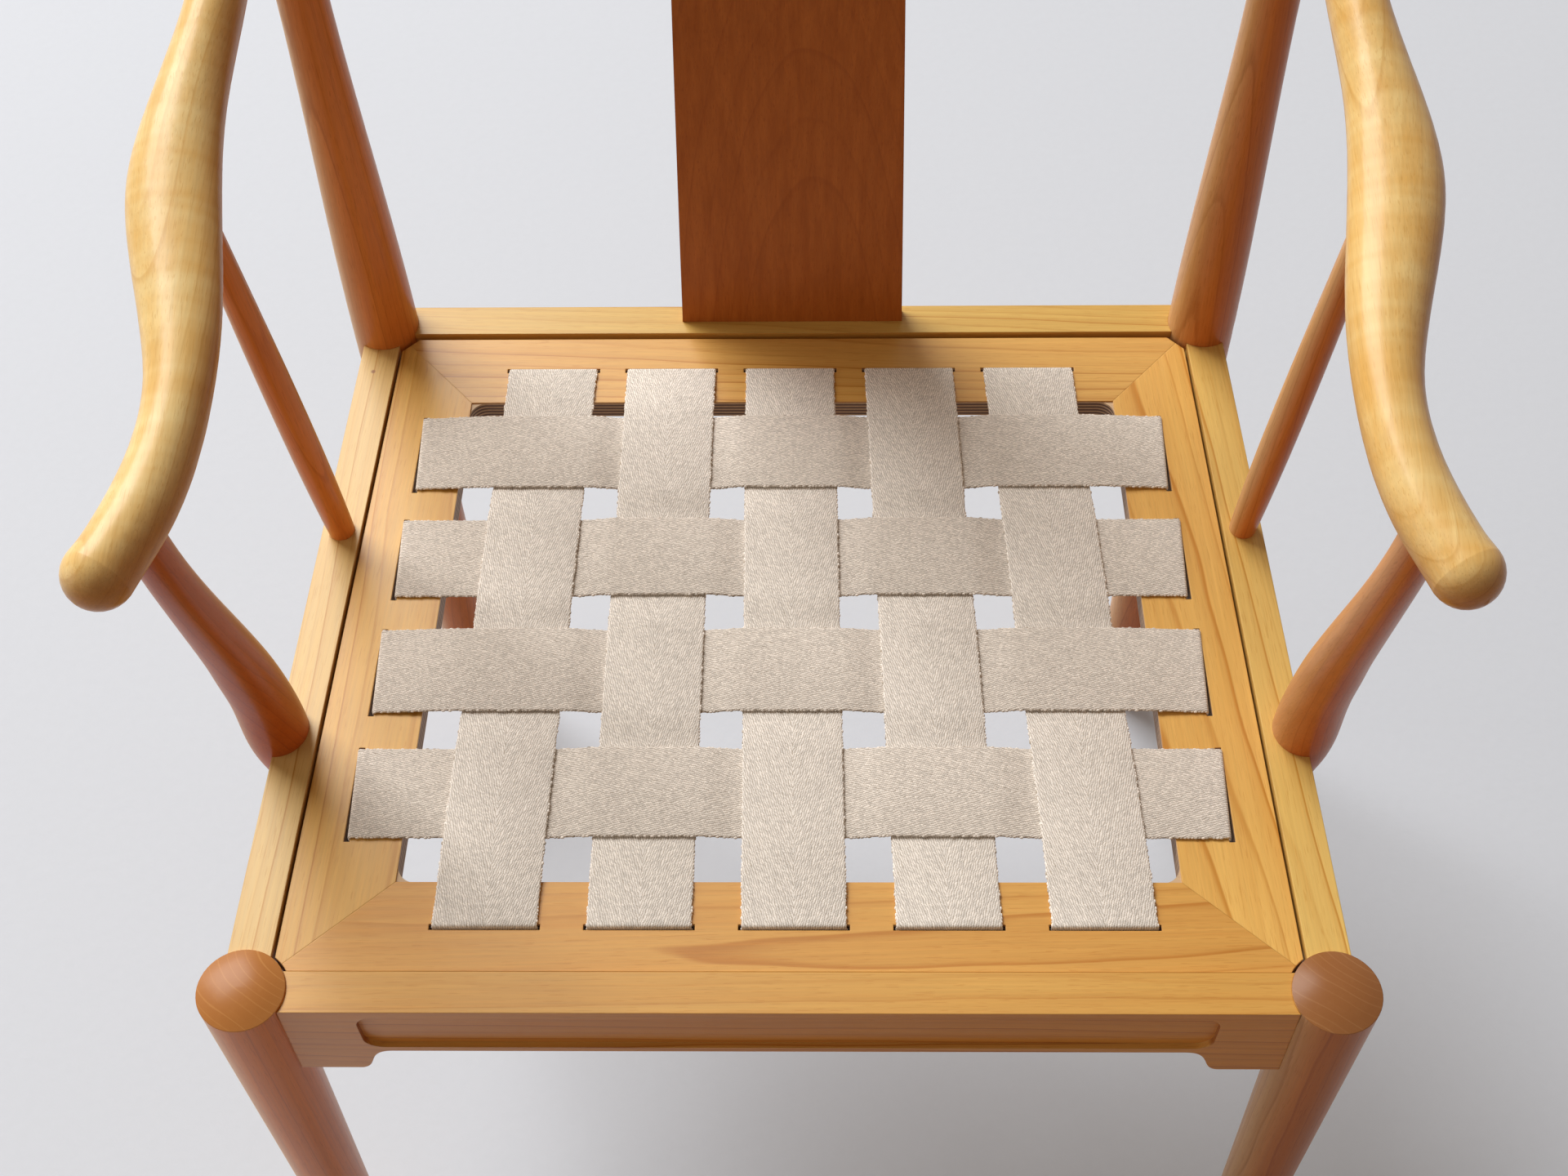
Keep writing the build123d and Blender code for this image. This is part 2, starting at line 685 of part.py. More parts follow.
# ---------------------------------------------------------------- arms and crest
with BuildPart() as arm:
    add(drilled_rail.part)
    add(arm_share.part, mode=Mode.INTERSECT)

with BuildPart() as crest_half:
    add(drilled_rail.part)
    add(arm_share.part, mode=Mode.SUBTRACT)

with BuildPart() as crest_rail:
    for side, word in sides:
        add(on_side(crest_half.part, side))
    add(splat.part, mode=Mode.SUBTRACT)
save(crest_rail, "crest_rail")

# ---------------------------------------------------------------- legs with their mortises
with BuildPart() as front_leg:
    add(front_leg_body.part)
    for joint in (front_rail_tenons.part, side_rail_tenons.part):
        add(joint, mode=Mode.SUBTRACT)

with BuildPart() as rear_leg:
    add(rear_leg_body.part)
    add(drilled_rail.part, mode=Mode.SUBTRACT)
    for joint in (back_rail_tenons.part, side_rail_tenons.part):
        add(joint, mode=Mode.SUBTRACT)

# ---------------------------------------------------------------- left and right pieces

paired_pieces = {
    "front_leg": front_leg,
    "rear_leg": rear_leg,
    "side_rail": side_rail,
    "arm_post": arm_post,
    "side_spindle": spindle,
    "arm": arm,
}
for name, right_piece in paired_pieces.items():
    for side, word in sides:
        with BuildPart() as piece:
            add(on_side(right_piece.part, side))
        save(piece, f"{name}_{word}")

# ---------------------------------------------------------------- seat panel
panel_front = front_inner_y + seat_gap_front
panel_back = back_face_y - seat_gap_back
opening_front = panel_front + opening_front_border
opening_back = opening_front + opening_length


def panel_half(y):
    """Half width of the seat panel at depth y."""
    return side_rail_x(y) - rail_thickness / 2 - seat_gap_side


panel_corners = (
    (-panel_half(panel_front), panel_front),
    (panel_half(panel_front), panel_front),
    (panel_half(panel_back), panel_back),
    (-panel_half(panel_back), panel_back),
)
opening_corners = (
    (-opening_front_width / 2, opening_front),
    (opening_front_width / 2, opening_front),
    (opening_rear_width / 2, opening_back),
    (-opening_rear_width / 2, opening_back),
)
leg_corner_room = rear_half - panel_half(panel_back) + rear_row_y - panel_back
panel_clip = (rear_leg_seat_diameter / 2 + panel_leg_gap) * sqrt(2) - leg_corner_room

slot_front = panel_front + slot_inset_front
slot_back = panel_back - slot_inset_back
lengthwise_places = []
for column in range(lengthwise_count):
    place = column - (lengthwise_count - 1) / 2
    front_end = Vector(place * lengthwise_pitch_front + lengthwise_shift_front, slot_front)
    back_end = Vector(place * lengthwise_pitch_back + lengthwise_shift_back, slot_back)
    lengthwise_places.append((front_end, back_end))
crosswise_places = []
for row in range(crosswise_count):
    y = slot_front + crosswise_first + row * crosswise_pitch
    slot_half = panel_half(y) - slot_inset_side
    crosswise_places.append((Vector(-slot_half, y), Vector(slot_half, y)))

with BuildPart() as panel_blank:
    with BuildSketch(Plane.XY.offset(panel_bottom)) as outline:
        Polygon(*panel_corners, align=None)
        chamfer(outline.vertices().group_by(Axis.Y)[-1], panel_clip)
        notch_x, notch_y = front_leg_axis(seat_top)
        with Locations((-notch_x, notch_y), (notch_x, notch_y)):
            Circle(front_leg_top_diameter / 2 + panel_leg_gap, mode=Mode.SUBTRACT)
    extrude(amount=panel_thickness)
    with BuildSketch(Plane.XY.offset(panel_bottom)) as window:
        Polygon(*opening_corners, align=None)
        fillet(window.vertices(), opening_corner)
    extrude(amount=panel_thickness, mode=Mode.SUBTRACT)
    with BuildSketch(Plane.XY.offset(panel_bottom)):
        for front_end, back_end in lengthwise_places:
            front_slot = (front_end.X, front_end.Y + slot_width / 2)
            back_slot = (back_end.X, back_end.Y - slot_width / 2)
            with Locations(front_slot, back_slot):
                Rectangle(slot_length, slot_width)
        for side, word in sides:
            for left_end, right_end in crosswise_places:
                slot_middle = (side * (right_end.X - slot_width / 2), right_end.Y)
                with Locations(Location(slot_middle, side * rail_angle / 2)):
                    Rectangle(slot_width, slot_length)
    extrude(amount=panel_thickness, mode=Mode.SUBTRACT)

veneer_bottom = seat_top - veneer_thickness
with BuildPart() as seat_panel:
    add(panel_blank.part)
    with BuildSketch(Plane.XY.offset(veneer_bottom)):
        Rectangle(2 * front_leg_spacing, 2 * overall_depth)
    extrude(amount=veneer_thickness, mode=Mode.SUBTRACT)
save(seat_panel, "seat_panel")

for first, word in enumerate(("front", "right", "back", "left")):
    second = (first + 1) % len(panel_corners)
    with BuildPart() as face_veneer:
        with BuildSketch(Plane.XY.offset(veneer_bottom)):
            Polygon(
                panel_corners[first],
                panel_corners[second],
                opening_corners[second],
                opening_corners[first],
                align=None,
            )
        extrude(amount=veneer_thickness)
        add(panel_blank.part, mode=Mode.INTERSECT)
    save(face_veneer, f"face_veneer_{word}")

# ---------------------------------------------------------------- webbing
low_level = seat_top + strap_gap
high_level = low_level + strap_thickness + strap_gap
under_level = panel_bottom - strap_gap
slot_room = (slot_width - strap_thickness) / 2


def strap_outline(length, crossings, on_top):
    """Side outline of a strap from slot to slot: points of distance along it and height."""
    top_run = [(slot_room, low_level)]
    for place, over in zip(crossings, on_top):
        level = high_level if over else low_level
        top_run.append((place - weave_flat / 2, level))
        top_run.append((place + weave_flat / 2, level))
    top_run.append((length - slot_room, low_level))
    inner = slot_room + strap_thickness
    upper = [(along, level + strap_thickness) for along, level in top_run]
    lower = [(inner, low_level)] + top_run[1:-1] + [(length - inner, low_level)]
    near_tail = [
        (inner, under_level),
        (strap_tail, under_level),
        (strap_tail, under_level - strap_thickness),
        (slot_room, under_level - strap_thickness),
    ]
    far_tail = [(length - along, level) for along, level in reversed(near_tail)]
    return upper + far_tail + list(reversed(lower)) + near_tail


def strap_solid(start, end, across, crossings, on_top):
    """A strap from one slot to the other, as a private solid with its ends along across."""
    way = (end - start).normalized()
    plane = Plane(origin=start, x_dir=way, z_dir=way.cross(Vector(0, 0, 1)))
    face = plane * Polygon(*strap_outline((end - start).length, crossings, on_top), align=None)
    return extrude(face, amount=strap_width / 2, dir=across, both=True)


for column, (front_end, back_end) in enumerate(lengthwise_places):
    stretch = (back_end - front_end).length / (slot_back - slot_front)
    crossings = [(crosswise_first + row * crosswise_pitch) * stretch for row in range(crosswise_count)]
    on_top = [(row + column) % 2 == 0 for row in range(crosswise_count)]
    strap = strap_solid(front_end, back_end, (1, 0, 0), crossings, on_top)
    with BuildPart() as lengthwise_strap:
        add(strap)
    save(lengthwise_strap, f"lengthwise_strap_{column + 1}")

for row, (left_end, right_end) in enumerate(crosswise_places):
    share = (left_end.Y - slot_front) / (slot_back - slot_front)
    middles = [front_end + (back_end - front_end) * share for front_end, back_end in lengthwise_places]
    crossings = [middle.X - left_end.X for middle in middles]
    on_top = [(row + column) % 2 == 1 for column in range(lengthwise_count)]
    strap = strap_solid(left_end, right_end, (0, 1, 0), crossings, on_top)
    with BuildPart() as crosswise_strap:
        add(strap)
    save(crosswise_strap, f"crosswise_strap_{row + 1}")
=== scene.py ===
import logging
import math
from dataclasses import dataclass, replace
from enum import Enum
from typing import Any, Callable, Union

import bpy
from bpy.types import Material, Node, NodeSocket, NodeTree, Object
from mathutils import Matrix, Vector


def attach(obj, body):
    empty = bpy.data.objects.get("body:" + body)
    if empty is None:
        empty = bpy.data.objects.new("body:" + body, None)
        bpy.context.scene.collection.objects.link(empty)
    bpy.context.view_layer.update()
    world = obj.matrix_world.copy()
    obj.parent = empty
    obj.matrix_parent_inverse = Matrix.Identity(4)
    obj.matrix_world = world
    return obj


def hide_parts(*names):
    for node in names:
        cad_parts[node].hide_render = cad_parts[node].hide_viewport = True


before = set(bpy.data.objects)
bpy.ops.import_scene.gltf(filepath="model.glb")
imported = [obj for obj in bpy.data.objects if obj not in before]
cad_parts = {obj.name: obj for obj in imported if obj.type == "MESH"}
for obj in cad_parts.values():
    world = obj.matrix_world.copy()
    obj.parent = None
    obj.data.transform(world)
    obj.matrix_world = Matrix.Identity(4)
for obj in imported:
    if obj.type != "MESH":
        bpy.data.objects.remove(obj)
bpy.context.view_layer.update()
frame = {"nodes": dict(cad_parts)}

# Looks of a horseshoe back armchair with a woven strap seat: cherry wood, linen webbing,
# plywood seat panel, staples and the studio. Metres, in the solids' own frame.

log = logging.getLogger("armchair")

Colour = tuple[float, float, float]
Place = tuple[float, float, float]
Span = tuple[float, float]
Number = Union[float, "Wire"]
Sockets = dict[int | str, Any] | None

MM = 0.001
KEY_LAMP_WAY = (-0.42, 0.55, 0.72)  # way to the key lamp; faces turned from it get painted shade in their colour


# -------- node bench
def sums(operation: str, turned: bool = False) -> Callable[..., "Wire"]:
    """Makes a method of Wire: one Math node over the wire and what it is called with.

    Args:
        operation: The node's operation.
        turned: Whether the wire comes last.

    Returns:
        The method.
    """

    def method(wire: "Wire", *others: Number) -> "Wire":
        """One Math node over the values."""
        return wire.bench.math(operation, *((*others, wire) if turned else (wire, *others)))

    return method


class Wire:
    """A node's output socket that takes part in Python sums."""

    __add__ = __radd__ = sums("ADD")
    __mul__ = __rmul__ = sums("MULTIPLY")
    __sub__ = sums("SUBTRACT")
    __rsub__ = sums("SUBTRACT", turned=True)
    __truediv__ = sums("DIVIDE")
    __gt__ = sums("GREATER_THAN")  # 1 where this is the greater, else 0
    __abs__ = sums("ABSOLUTE")
    floor = sums("FLOOR")
    part = sums("FRACT")  # what this is above its whole number
    most = sums("MAXIMUM")

    def __init__(self, bench: "Bench", socket: NodeSocket) -> None:
        """Keeps the socket and the bench that its sums are worked out on."""
        self.bench = bench
        self.socket = socket

    def hump(self) -> "Wire":
        """Half a sine wave for this from 0 to 1."""
        return self.bench.math("SINE", self * math.pi)

    def swing(self, reach: Number) -> "Wire":
        """Turns 0 to 1 into a swing to both sides of 0, as wide as reach in all."""
        return (self - 0.5) * reach

    def ease(self, low: float, high: float, start: float = 0.0, end: float = 1.0) -> "Wire":
        """Goes smoothly from start to end while this goes from low to high."""
        sockets = {0: self, 1: low, 2: high, 3: start, 4: end}
        return self.bench.wire("ShaderNodeMapRange", sockets, interpolation_type="SMOOTHSTEP")


@dataclass(frozen=True)
class Pattern:
    """Soft noise: how fast it changes along each axis, its detail and its roughness."""

    x: float
    y: float
    z: float
    detail: float = 2.0
    roughness: float = 0.5


class Bench:
    """Makes the nodes of one shader or geometry tree."""

    family = "ShaderNode"

    def __init__(self, tree: NodeTree) -> None:
        """Keeps the tree and clears it."""
        self.tree = tree
        tree.nodes.clear()

    def node(self, kind: str, sockets: Sockets = None, **settings: Any) -> Node:
        """Makes one node.

        Args:
            kind: The node's type, with or without its family.
            sockets: A value or a wire for each input, by name or place.
            settings: The node's own settings, which are set first.

        Returns:
            The node.
        """
        node = self.tree.nodes.new(kind if "Node" in kind else self.family + kind)
        for key, value in settings.items():
            setattr(node, key, value)
        for key, value in (sockets or {}).items():
            if isinstance(value, Wire):
                self.tree.links.new(value.socket, node.inputs[key])
            else:
                node.inputs[key].default_value = value
        return node

    def wire(
        self, kind: str, sockets: Sockets = None, output: int | str = 0, **settings: Any
    ) -> Wire:
        """Makes one node and returns one of its outputs as a wire."""
        return Wire(self, self.node(kind, sockets, **settings).outputs[output])

    def math(self, operation: str, *values: Number) -> Wire:
        """One Math node over its values."""
        return self.wire("ShaderNodeMath", dict(enumerate(values)), operation=operation)

    def measure(self, operation: str, *values: Any) -> Wire:
        """The number that one Vector Math node gives for its values."""
        sockets = dict(enumerate(values))
        return self.wire("ShaderNodeVectorMath", sockets, "Value", operation=operation)

    def pack(self, x: Number, y: Number, z: Number) -> Wire:
        """A vector of three numbers."""
        return self.wire("ShaderNodeCombineXYZ", {0: x, 1: y, 2: z})

    def unpack(self, vector: Wire) -> list[Wire]:
        """The three numbers of a vector."""
        node = self.node("ShaderNodeSeparateXYZ", {0: vector})
        return [Wire(self, output) for output in node.outputs]

    def noise(self, x: Number, y: Number, z: Number, pattern: Pattern) -> Wire:
        """Soft noise at a place, from 0 to 1."""
        place = self.pack(x * pattern.x, y * pattern.y, z * pattern.z)
        sockets = {"Vector": place, "Scale": 1.0, "Detail": pattern.detail}
        sockets["Roughness"] = pattern.roughness
        return self.wire("ShaderNodeTexNoise", sockets)

    def chance(self, seat: Wire, dimensions: str = "1D") -> Wire:
        """A number from 0 to 1 that is another at each whole number, or set of them."""
        name = "W" if dimensions == "1D" else "Vector"
        return self.wire("ShaderNodeTexWhiteNoise", {name: seat}, noise_dimensions=dimensions)

    def blend(self, share: Number, first: Any, second: Any, how: str = "MIX") -> Wire:
        """Mix of two colours."""
        first, second = (c if isinstance(c, Wire) else (*c, 1.0) for c in (first, second))
        sockets = {0: share, 6: first, 7: second}
        return self.wire("ShaderNodeMix", sockets, 2, data_type="RGBA", blend_type=how)

    def shade(self, colour: Any, factor: Wire) -> Wire:
        """A colour made lighter or darker by a factor."""
        return self.wire("ShaderNodeVectorMath", {0: colour, 3: factor}, operation="SCALE")

    def bump(self, height: Wire, depth: float, strength: float = 1.0, **base: Wire) -> Wire:
        """Surface normal over a height from 0 to 1 that stands for a depth."""
        sockets = {"Strength": strength, "Distance": depth, "Height": height, **base}
        return self.wire("Bump", sockets)


class Surface(Bench):
    """The node tree of one material."""

    def __init__(self, name: str) -> None:
        """Makes the material with an empty tree."""
        self.material = bpy.data.materials.new(name)
        self.material.use_nodes = True
        super().__init__(self.material.node_tree)

    def own(self, output: str) -> Wire:
        """The piece's own coordinate of a kind."""
        return self.wire("TexCoord", output=output)

    def finish(self, **sockets: Any) -> Material:
        """Ends the tree in a Principled shader.

        Args:
            sockets: Its inputs, with _ for a space in their names.

        Returns:
            The material.
        """
        named = {key.replace("_", " "): value for key, value in sockets.items()}
        shader = self.wire("BsdfPrincipled", named)
        self.node("OutputMaterial", {"Surface": shader})
        return self.material


class ShapeTree(Bench):
    """A geometry tree with named inputs, which ends in one plain dressed shape."""

    family = "GeometryNode"

    def __init__(self, name: str, **inputs: str) -> None:
        """Makes the tree.

        Args:
            name: The tree's name.
            inputs: Names of its inputs of each kind, parted by commas.
        """
        group = bpy.data.node_groups.new(name, "GeometryNodeTree")
        for kind, labels in inputs.items():
            for label in labels.split(", "):
                group.interface.new_socket(label, in_out="INPUT", socket_type=f"NodeSocket{kind}")
        group.interface.new_socket("Shape", in_out="OUTPUT", socket_type="NodeSocketGeometry")
        super().__init__(group)
        sockets = self.node("NodeGroupInput").outputs
        self.given = {socket.name: Wire(self, socket) for socket in sockets if socket.name}

    def store(self, geometry: Wire, name: str, value: Number) -> Wire:
        """Keeps a number on each point under a name."""
        sockets = {"Geometry": geometry, "Name": name, "Value": value}
        return self.wire("StoreNamedAttribute", sockets, data_type="FLOAT", domain="POINT")

    def chosen(self, low: Number, high: Number) -> Wire:
        """A random number between two for each point, by the tree's seed."""
        sockets = {2: low, 3: high, "Seed": self.given["Seed"]}
        return self.wire("FunctionNodeRandomValue", sockets, 1, data_type="FLOAT")

    def rounded(self, curve: Wire, radius: Number, count: int) -> Wire:
        """Rounds a curve's corners, each in count steps."""
        sockets = {"Curve": curve, "Count": count, "Radius": radius}
        return self.wire("FilletCurve", sockets, mode="POLY")

    def swept(self, curve: Wire, outline: Wire) -> Wire:
        """Carries an outline along a curve and closes both ends."""
        sockets = {"Curve": curve, "Profile Curve": outline, "Fill Caps": True}
        return self.wire("CurveToMesh", sockets)

    def finish(self, shape: Wire, material: Wire) -> NodeTree:
        """Ends the tree: smooth shading, the material and the way out."""
        shape = self.wire("SetShadeSmooth", {"Geometry": shape})
        shape = self.wire("SetMaterial", {"Geometry": shape, "Material": material})
        self.node("NodeGroupOutput", {"Shape": shape})
        return self.tree


# -------- finishes
class Grain(Enum):
    """Turn that brings the log's own Z onto the way a piece's fibres run, and that way."""

    SIDEWAYS = (0.0, 90.0, 0.0), (1.0, 0.0, 0.0)
    FORWARD = (-90.0, 0.0, 0.0), (0.0, 1.0, 0.0)
    UPRIGHT = (0.0, 0.0, 0.0), (0.0, 0.0, 1.0)


@dataclass(frozen=True)
class WoodCut:
    """Where in its log a piece was cut."""

    grain: Grain
    pith: Place  # a point on the log's middle line, metres
    lean: Place = (0.0, 0.0, 0.0)  # degrees off the grain
    tone: Colour = (1.0, 1.0, 1.0)  # partly the board's own tone, partly painted light and shade for how much light the piece stands in; a share of the finish's
    knots: tuple[tuple[Place, float], ...] = ()  # place and radius of each pin knot

    def turn(self) -> Place:
        """Turn of the log in radians."""
        return tuple(math.radians(a + b) for a, b in zip(self.grain.value[0], self.lean))


@dataclass(frozen=True)
class CherryFinish:
    """Oiled and lacquered cherry: growth rings, fibres, flecks and end grain."""

    light: Colour
    deep: Colour
    line: Colour = (0.34, 0.115, 0.022)
    end_grain: Colour = (0.36, 0.135, 0.034)
    end_line: Colour = (0.52, 0.25, 0.085)
    knot: Colour = (0.26, 0.07, 0.015)
    ring_pitch: float = 4.2 * MM
    line_depth: float = 0.85
    figure: float = 0.28  # how far clouds darken the wood
    waver: float = 26 * MM  # how far the rings wander
    gloss: float = 0.30  # weight of the lacquer coat
    roughness: float = 0.42
    shine: float = 0.40
    coat_roughness: float = 0.24
    coat_ior: float = 1.35
    streaks: float = 0.7  # how far long streaks darken the wood
    curl: float = 0.0  # how far bands across the fibres darken the wood
    turned_away: Colour = (1.0, 0.84, 0.70)  # painted shade: colour factor for faces turned from the key lamp
    paled: Span = (-0.45, 0.50)  # how far a face looks to the key lamp, from full painted shade to none
    ends: float = 1.0  # how much of the end grain shows where the fibres come out
    edge: float = 0.7 * MM  # radius that the sanded corners look rounded by
    edge_rays: int = 6
    # Rings and marks of the log. Spans of a year go from its spring to its winter.
    drift: Pattern = Pattern(13, 13, 1.43, 1.5)  # wander of the rings
    sway: Pattern = Pattern(34, 34, 10.2, 1)
    sway_reach: float = 3 * MM
    climate: float = 70.0  # good and bad spells for each metre
    climate_reach: float = 1.4  # years
    slow_late: Span = (0.30, 0.92)  # of a year, in which late wood darkens
    quick_late: Span = (0.80, 0.93)
    quick_share: float = 0.70
    winter: Span = (0.94, 1.0)
    faintest: float = 0.25  # year's line
    fibre: Pattern = Pattern(900, 900, 16, 2, 0.6)
    fibre_depth: float = 0.28
    streak: Pattern = Pattern(210, 210, 5, 2, 0.55)
    cloud: Pattern = Pattern(11, 11, 3.85)
    ripple: Pattern = Pattern(9, 9, 75, 2, 0.6)
    pore: Pattern = Pattern(2300, 2300, 95, 0)
    pore_edge: Span = (0.66, 0.74)
    pore_depth: float = 0.30
    fleck_scale: float = 17.0
    fleck_stretch: float = 0.45
    fleck_edge: Span = (0.012, 0.055)
    fleck_limit: float = 0.80  # share of the cells without a fleck
    fleck_depth: float = 0.55
    end_facing: Span = (0.72, 0.97)  # how squarely a face cuts the fibres
    end_rise: Span = (0.74, 0.86)
    end_fall: Span = (0.88, 0.98)
    end_rings: float = 0.45
    end_streaks: float = 0.3
    knot_edge: Span = (0.5, 1.5)  # in radii
    knot_ragged: float = 0.5
    knot_depth: float = 0.85
    relief: float = 0.05 * MM
    relief_strength: float = 0.5
    fibre_relief: float = 0.6
    pore_relief: float = 0.5
    line_relief: float = 0.25
    fibre_rough: float = 0.12
    cloud_rough: float = 0.10

    def material(self, name: str, cut: WoodCut) -> Material:
        """Makes the finish for one piece.

        Args:
            name: The material's name.
            cut: Where the piece lies in its log.

        Returns:
            The material.
        """
        tree = Surface(name)
        place, normal = tree.own("Object"), tree.own("Normal")
        turned = {"Vector": place, "Location": cut.pith, "Rotation": cut.turn()}
        x, y, z = tree.unpack(tree.wire("Mapping", turned, vector_type="TEXTURE"))
        patterns = (self.fibre, self.streak, self.cloud, self.ripple, self.pore)
        fibre, streak, cloud, ripple, pores = (tree.noise(x, y, z, each) for each in patterns)
        pores = pores.ease(*self.pore_edge)
        year, vigour = self.years(tree, x, y, z)
        late = year.ease(*self.slow_late) * (1.0 - self.quick_share)
        late = late + year.ease(*self.quick_late) * self.quick_share
        late = late * year.ease(*self.winter, 1.0, 0.0)
        line = late * vigour.ease(0.0, 1.0, self.faintest, 1.0)

        tone = cloud.swing(2.0 * self.figure) + streak.swing(self.streaks)
        tone = tone + ripple.swing(2.0 * self.curl) + 0.5
        colour = tree.blend(tone.ease(0.0, 1.0), self.light, self.deep)
        colour = tree.blend(line * self.line_depth, colour, self.line)
        colour = tree.shade(colour, 1.0 + fibre.swing(self.fibre_depth))
        colour = tree.blend(pores * self.pore_depth, colour, self.line)
        flecks = self.flecks(tree, x, y, z)
        colour = tree.blend(flecks * self.fleck_depth, colour, self.line)

        facing = abs(tree.measure("DOT_PRODUCT", normal, cut.grain.value[1]))
        spring = year.ease(*self.end_rise) * year.ease(*self.end_fall, 1.0, 0.0)
        share = spring * self.end_rings * vigour + streak.swing(self.end_streaks)
        ends = tree.blend(share, self.end_grain, self.end_line)
        colour = tree.blend(facing.ease(*self.end_facing, 0.0, self.ends), colour, ends)

        # Painted shade: faces turned from the key lamp get a darker, redder colour.
        key_facing = tree.measure("DOT_PRODUCT", normal, KEY_LAMP_WAY)
        shaded_colour = tree.blend(1.0, colour, self.turned_away, "MULTIPLY")
        colour = tree.blend(key_facing.ease(*self.paled, 1.0, 0.0), colour, shaded_colour)
        for spot, radius in cut.knots:
            away = tree.measure("DISTANCE", place, spot) / radius
            swirl = away + (cloud + fibre - 1.0) * self.knot_ragged
            dark = swirl.ease(*self.knot_edge, self.knot_depth, 0.0)
            colour = tree.blend(dark, colour, self.knot)
        # The piece's tone, partly its own and partly painted light and shade.
        colour = tree.blend(1.0, colour, cut.tone, "MULTIPLY")

        height = fibre * self.fibre_relief - pores * self.pore_relief
        height = height - line * self.line_relief
        eased = tree.wire("Bevel", {"Radius": self.edge}, samples=self.edge_rays)
        rough = fibre.swing(self.fibre_rough) + cloud.swing(self.cloud_rough)
        return tree.finish(
            Base_Color=colour,
            Roughness=self.roughness + rough,
            Normal=tree.bump(height, self.relief, self.relief_strength, Normal=eased),
            Coat_Weight=self.gloss,
            Coat_Roughness=self.coat_roughness,
            Coat_IOR=self.coat_ior,
            Specular_IOR_Level=self.shine,
        )

    def years(self, tree: Surface, x: Wire, y: Wire, z: Wire) -> tuple[Wire, Wire]:
        """Share of its year that each place in the log grew in, and the year's own vigour."""
        drift = tree.noise(x, y, z, self.drift).swing(self.waver)
        sway = tree.noise(x, y, z, self.sway).swing(self.sway_reach)
        away = tree.measure("LENGTH", tree.pack(x, y, 0.0))
        outwards = {"W": away * self.climate, "Scale": 1.0}
        climate = tree.wire("TexNoise", outwards, noise_dimensions="1D")
        rings = (away + drift + sway) / self.ring_pitch + climate * self.climate_reach
        return rings.part(), tree.chance(rings.floor())

    def flecks(self, tree: Surface, x: Wire, y: Wire, z: Wire) -> Wire:
        """1 in the scattered gum flecks, else 0."""
        place = tree.pack(x, y, z * self.fleck_stretch)
        sockets = {"Vector": place, "Scale": self.fleck_scale, "Randomness": 1.0}
        cells = tree.node("TexVoronoi", sockets)
        near, number = (Wire(tree, cells.outputs[name]) for name in ("Distance", "Color"))
        number = tree.wire("SeparateColor", {0: number})
        return near.ease(*self.fleck_edge, 1.0, 0.0) * (number > self.fleck_limit)


@dataclass(frozen=True)
class PlywoodFinish:
    """Birch plywood, its plies in view on the cut edges."""

    face: Colour = (0.62, 0.44, 0.26)
    pale_ply: Colour = (0.62, 0.42, 0.25)
    dark_ply: Colour = (0.13, 0.058, 0.028)
    bottom: float = 401 * MM
    top: float = 412.2 * MM
    plies: int = 9
    waver: Pattern = Pattern(30, 30, 30, 1)
    waver_reach: float = 0.25  # plies
    speckle: Pattern = Pattern(1400, 1400, 2600)
    speckle_depth: float = 0.5
    glue: Span = (0.38, 0.5)  # from a ply's middle, in plies
    glue_depth: float = 0.6
    rings: Pattern = Pattern(6, 90, 90, 3, 0.6)
    ring_depth: float = 0.35
    fibre: Pattern = Pattern(25, 900, 900)
    fibre_depth: float = 0.25
    level: Span = (0.6, 0.8)  # from cut edge to sheet
    roughness: float = 0.55
    fibre_rough: float = 0.15
    relief: float = 0.06 * MM

    def material(self, name: str) -> Material:
        """Makes the finish: layers on upright faces, plain veneer on level ones."""
        tree = Surface(name)
        x, y, z = tree.unpack(tree.own("Object"))
        waver = tree.noise(x, y, z, self.waver).swing(self.waver_reach)
        layer = (z - self.bottom) / ((self.top - self.bottom) / self.plies) + waver
        every_other = (layer.floor() * 0.5).part() > 0.25
        speckle = tree.noise(x, y, z, self.speckle)
        glue = abs(layer.part() - 0.5).ease(*self.glue)
        edge = tree.blend(every_other, self.pale_ply, self.dark_ply)
        edge = tree.blend(glue * self.glue_depth, edge, self.dark_ply)
        edge = tree.shade(edge, 1.0 + speckle.swing(self.speckle_depth))
        rings = tree.noise(x, y, z, self.rings).swing(self.ring_depth)
        fibre = tree.noise(x, y, z, self.fibre)
        sheet = tree.shade(self.face, 1.0 + rings + fibre.swing(self.fibre_depth))
        _, _, up = tree.unpack(tree.own("Normal"))
        return tree.finish(
            Base_Color=tree.blend(abs(up).ease(*self.level), edge, sheet),
            Roughness=self.roughness + fibre.swing(self.fibre_rough),
            Normal=tree.bump(speckle + fibre, self.relief),
        )


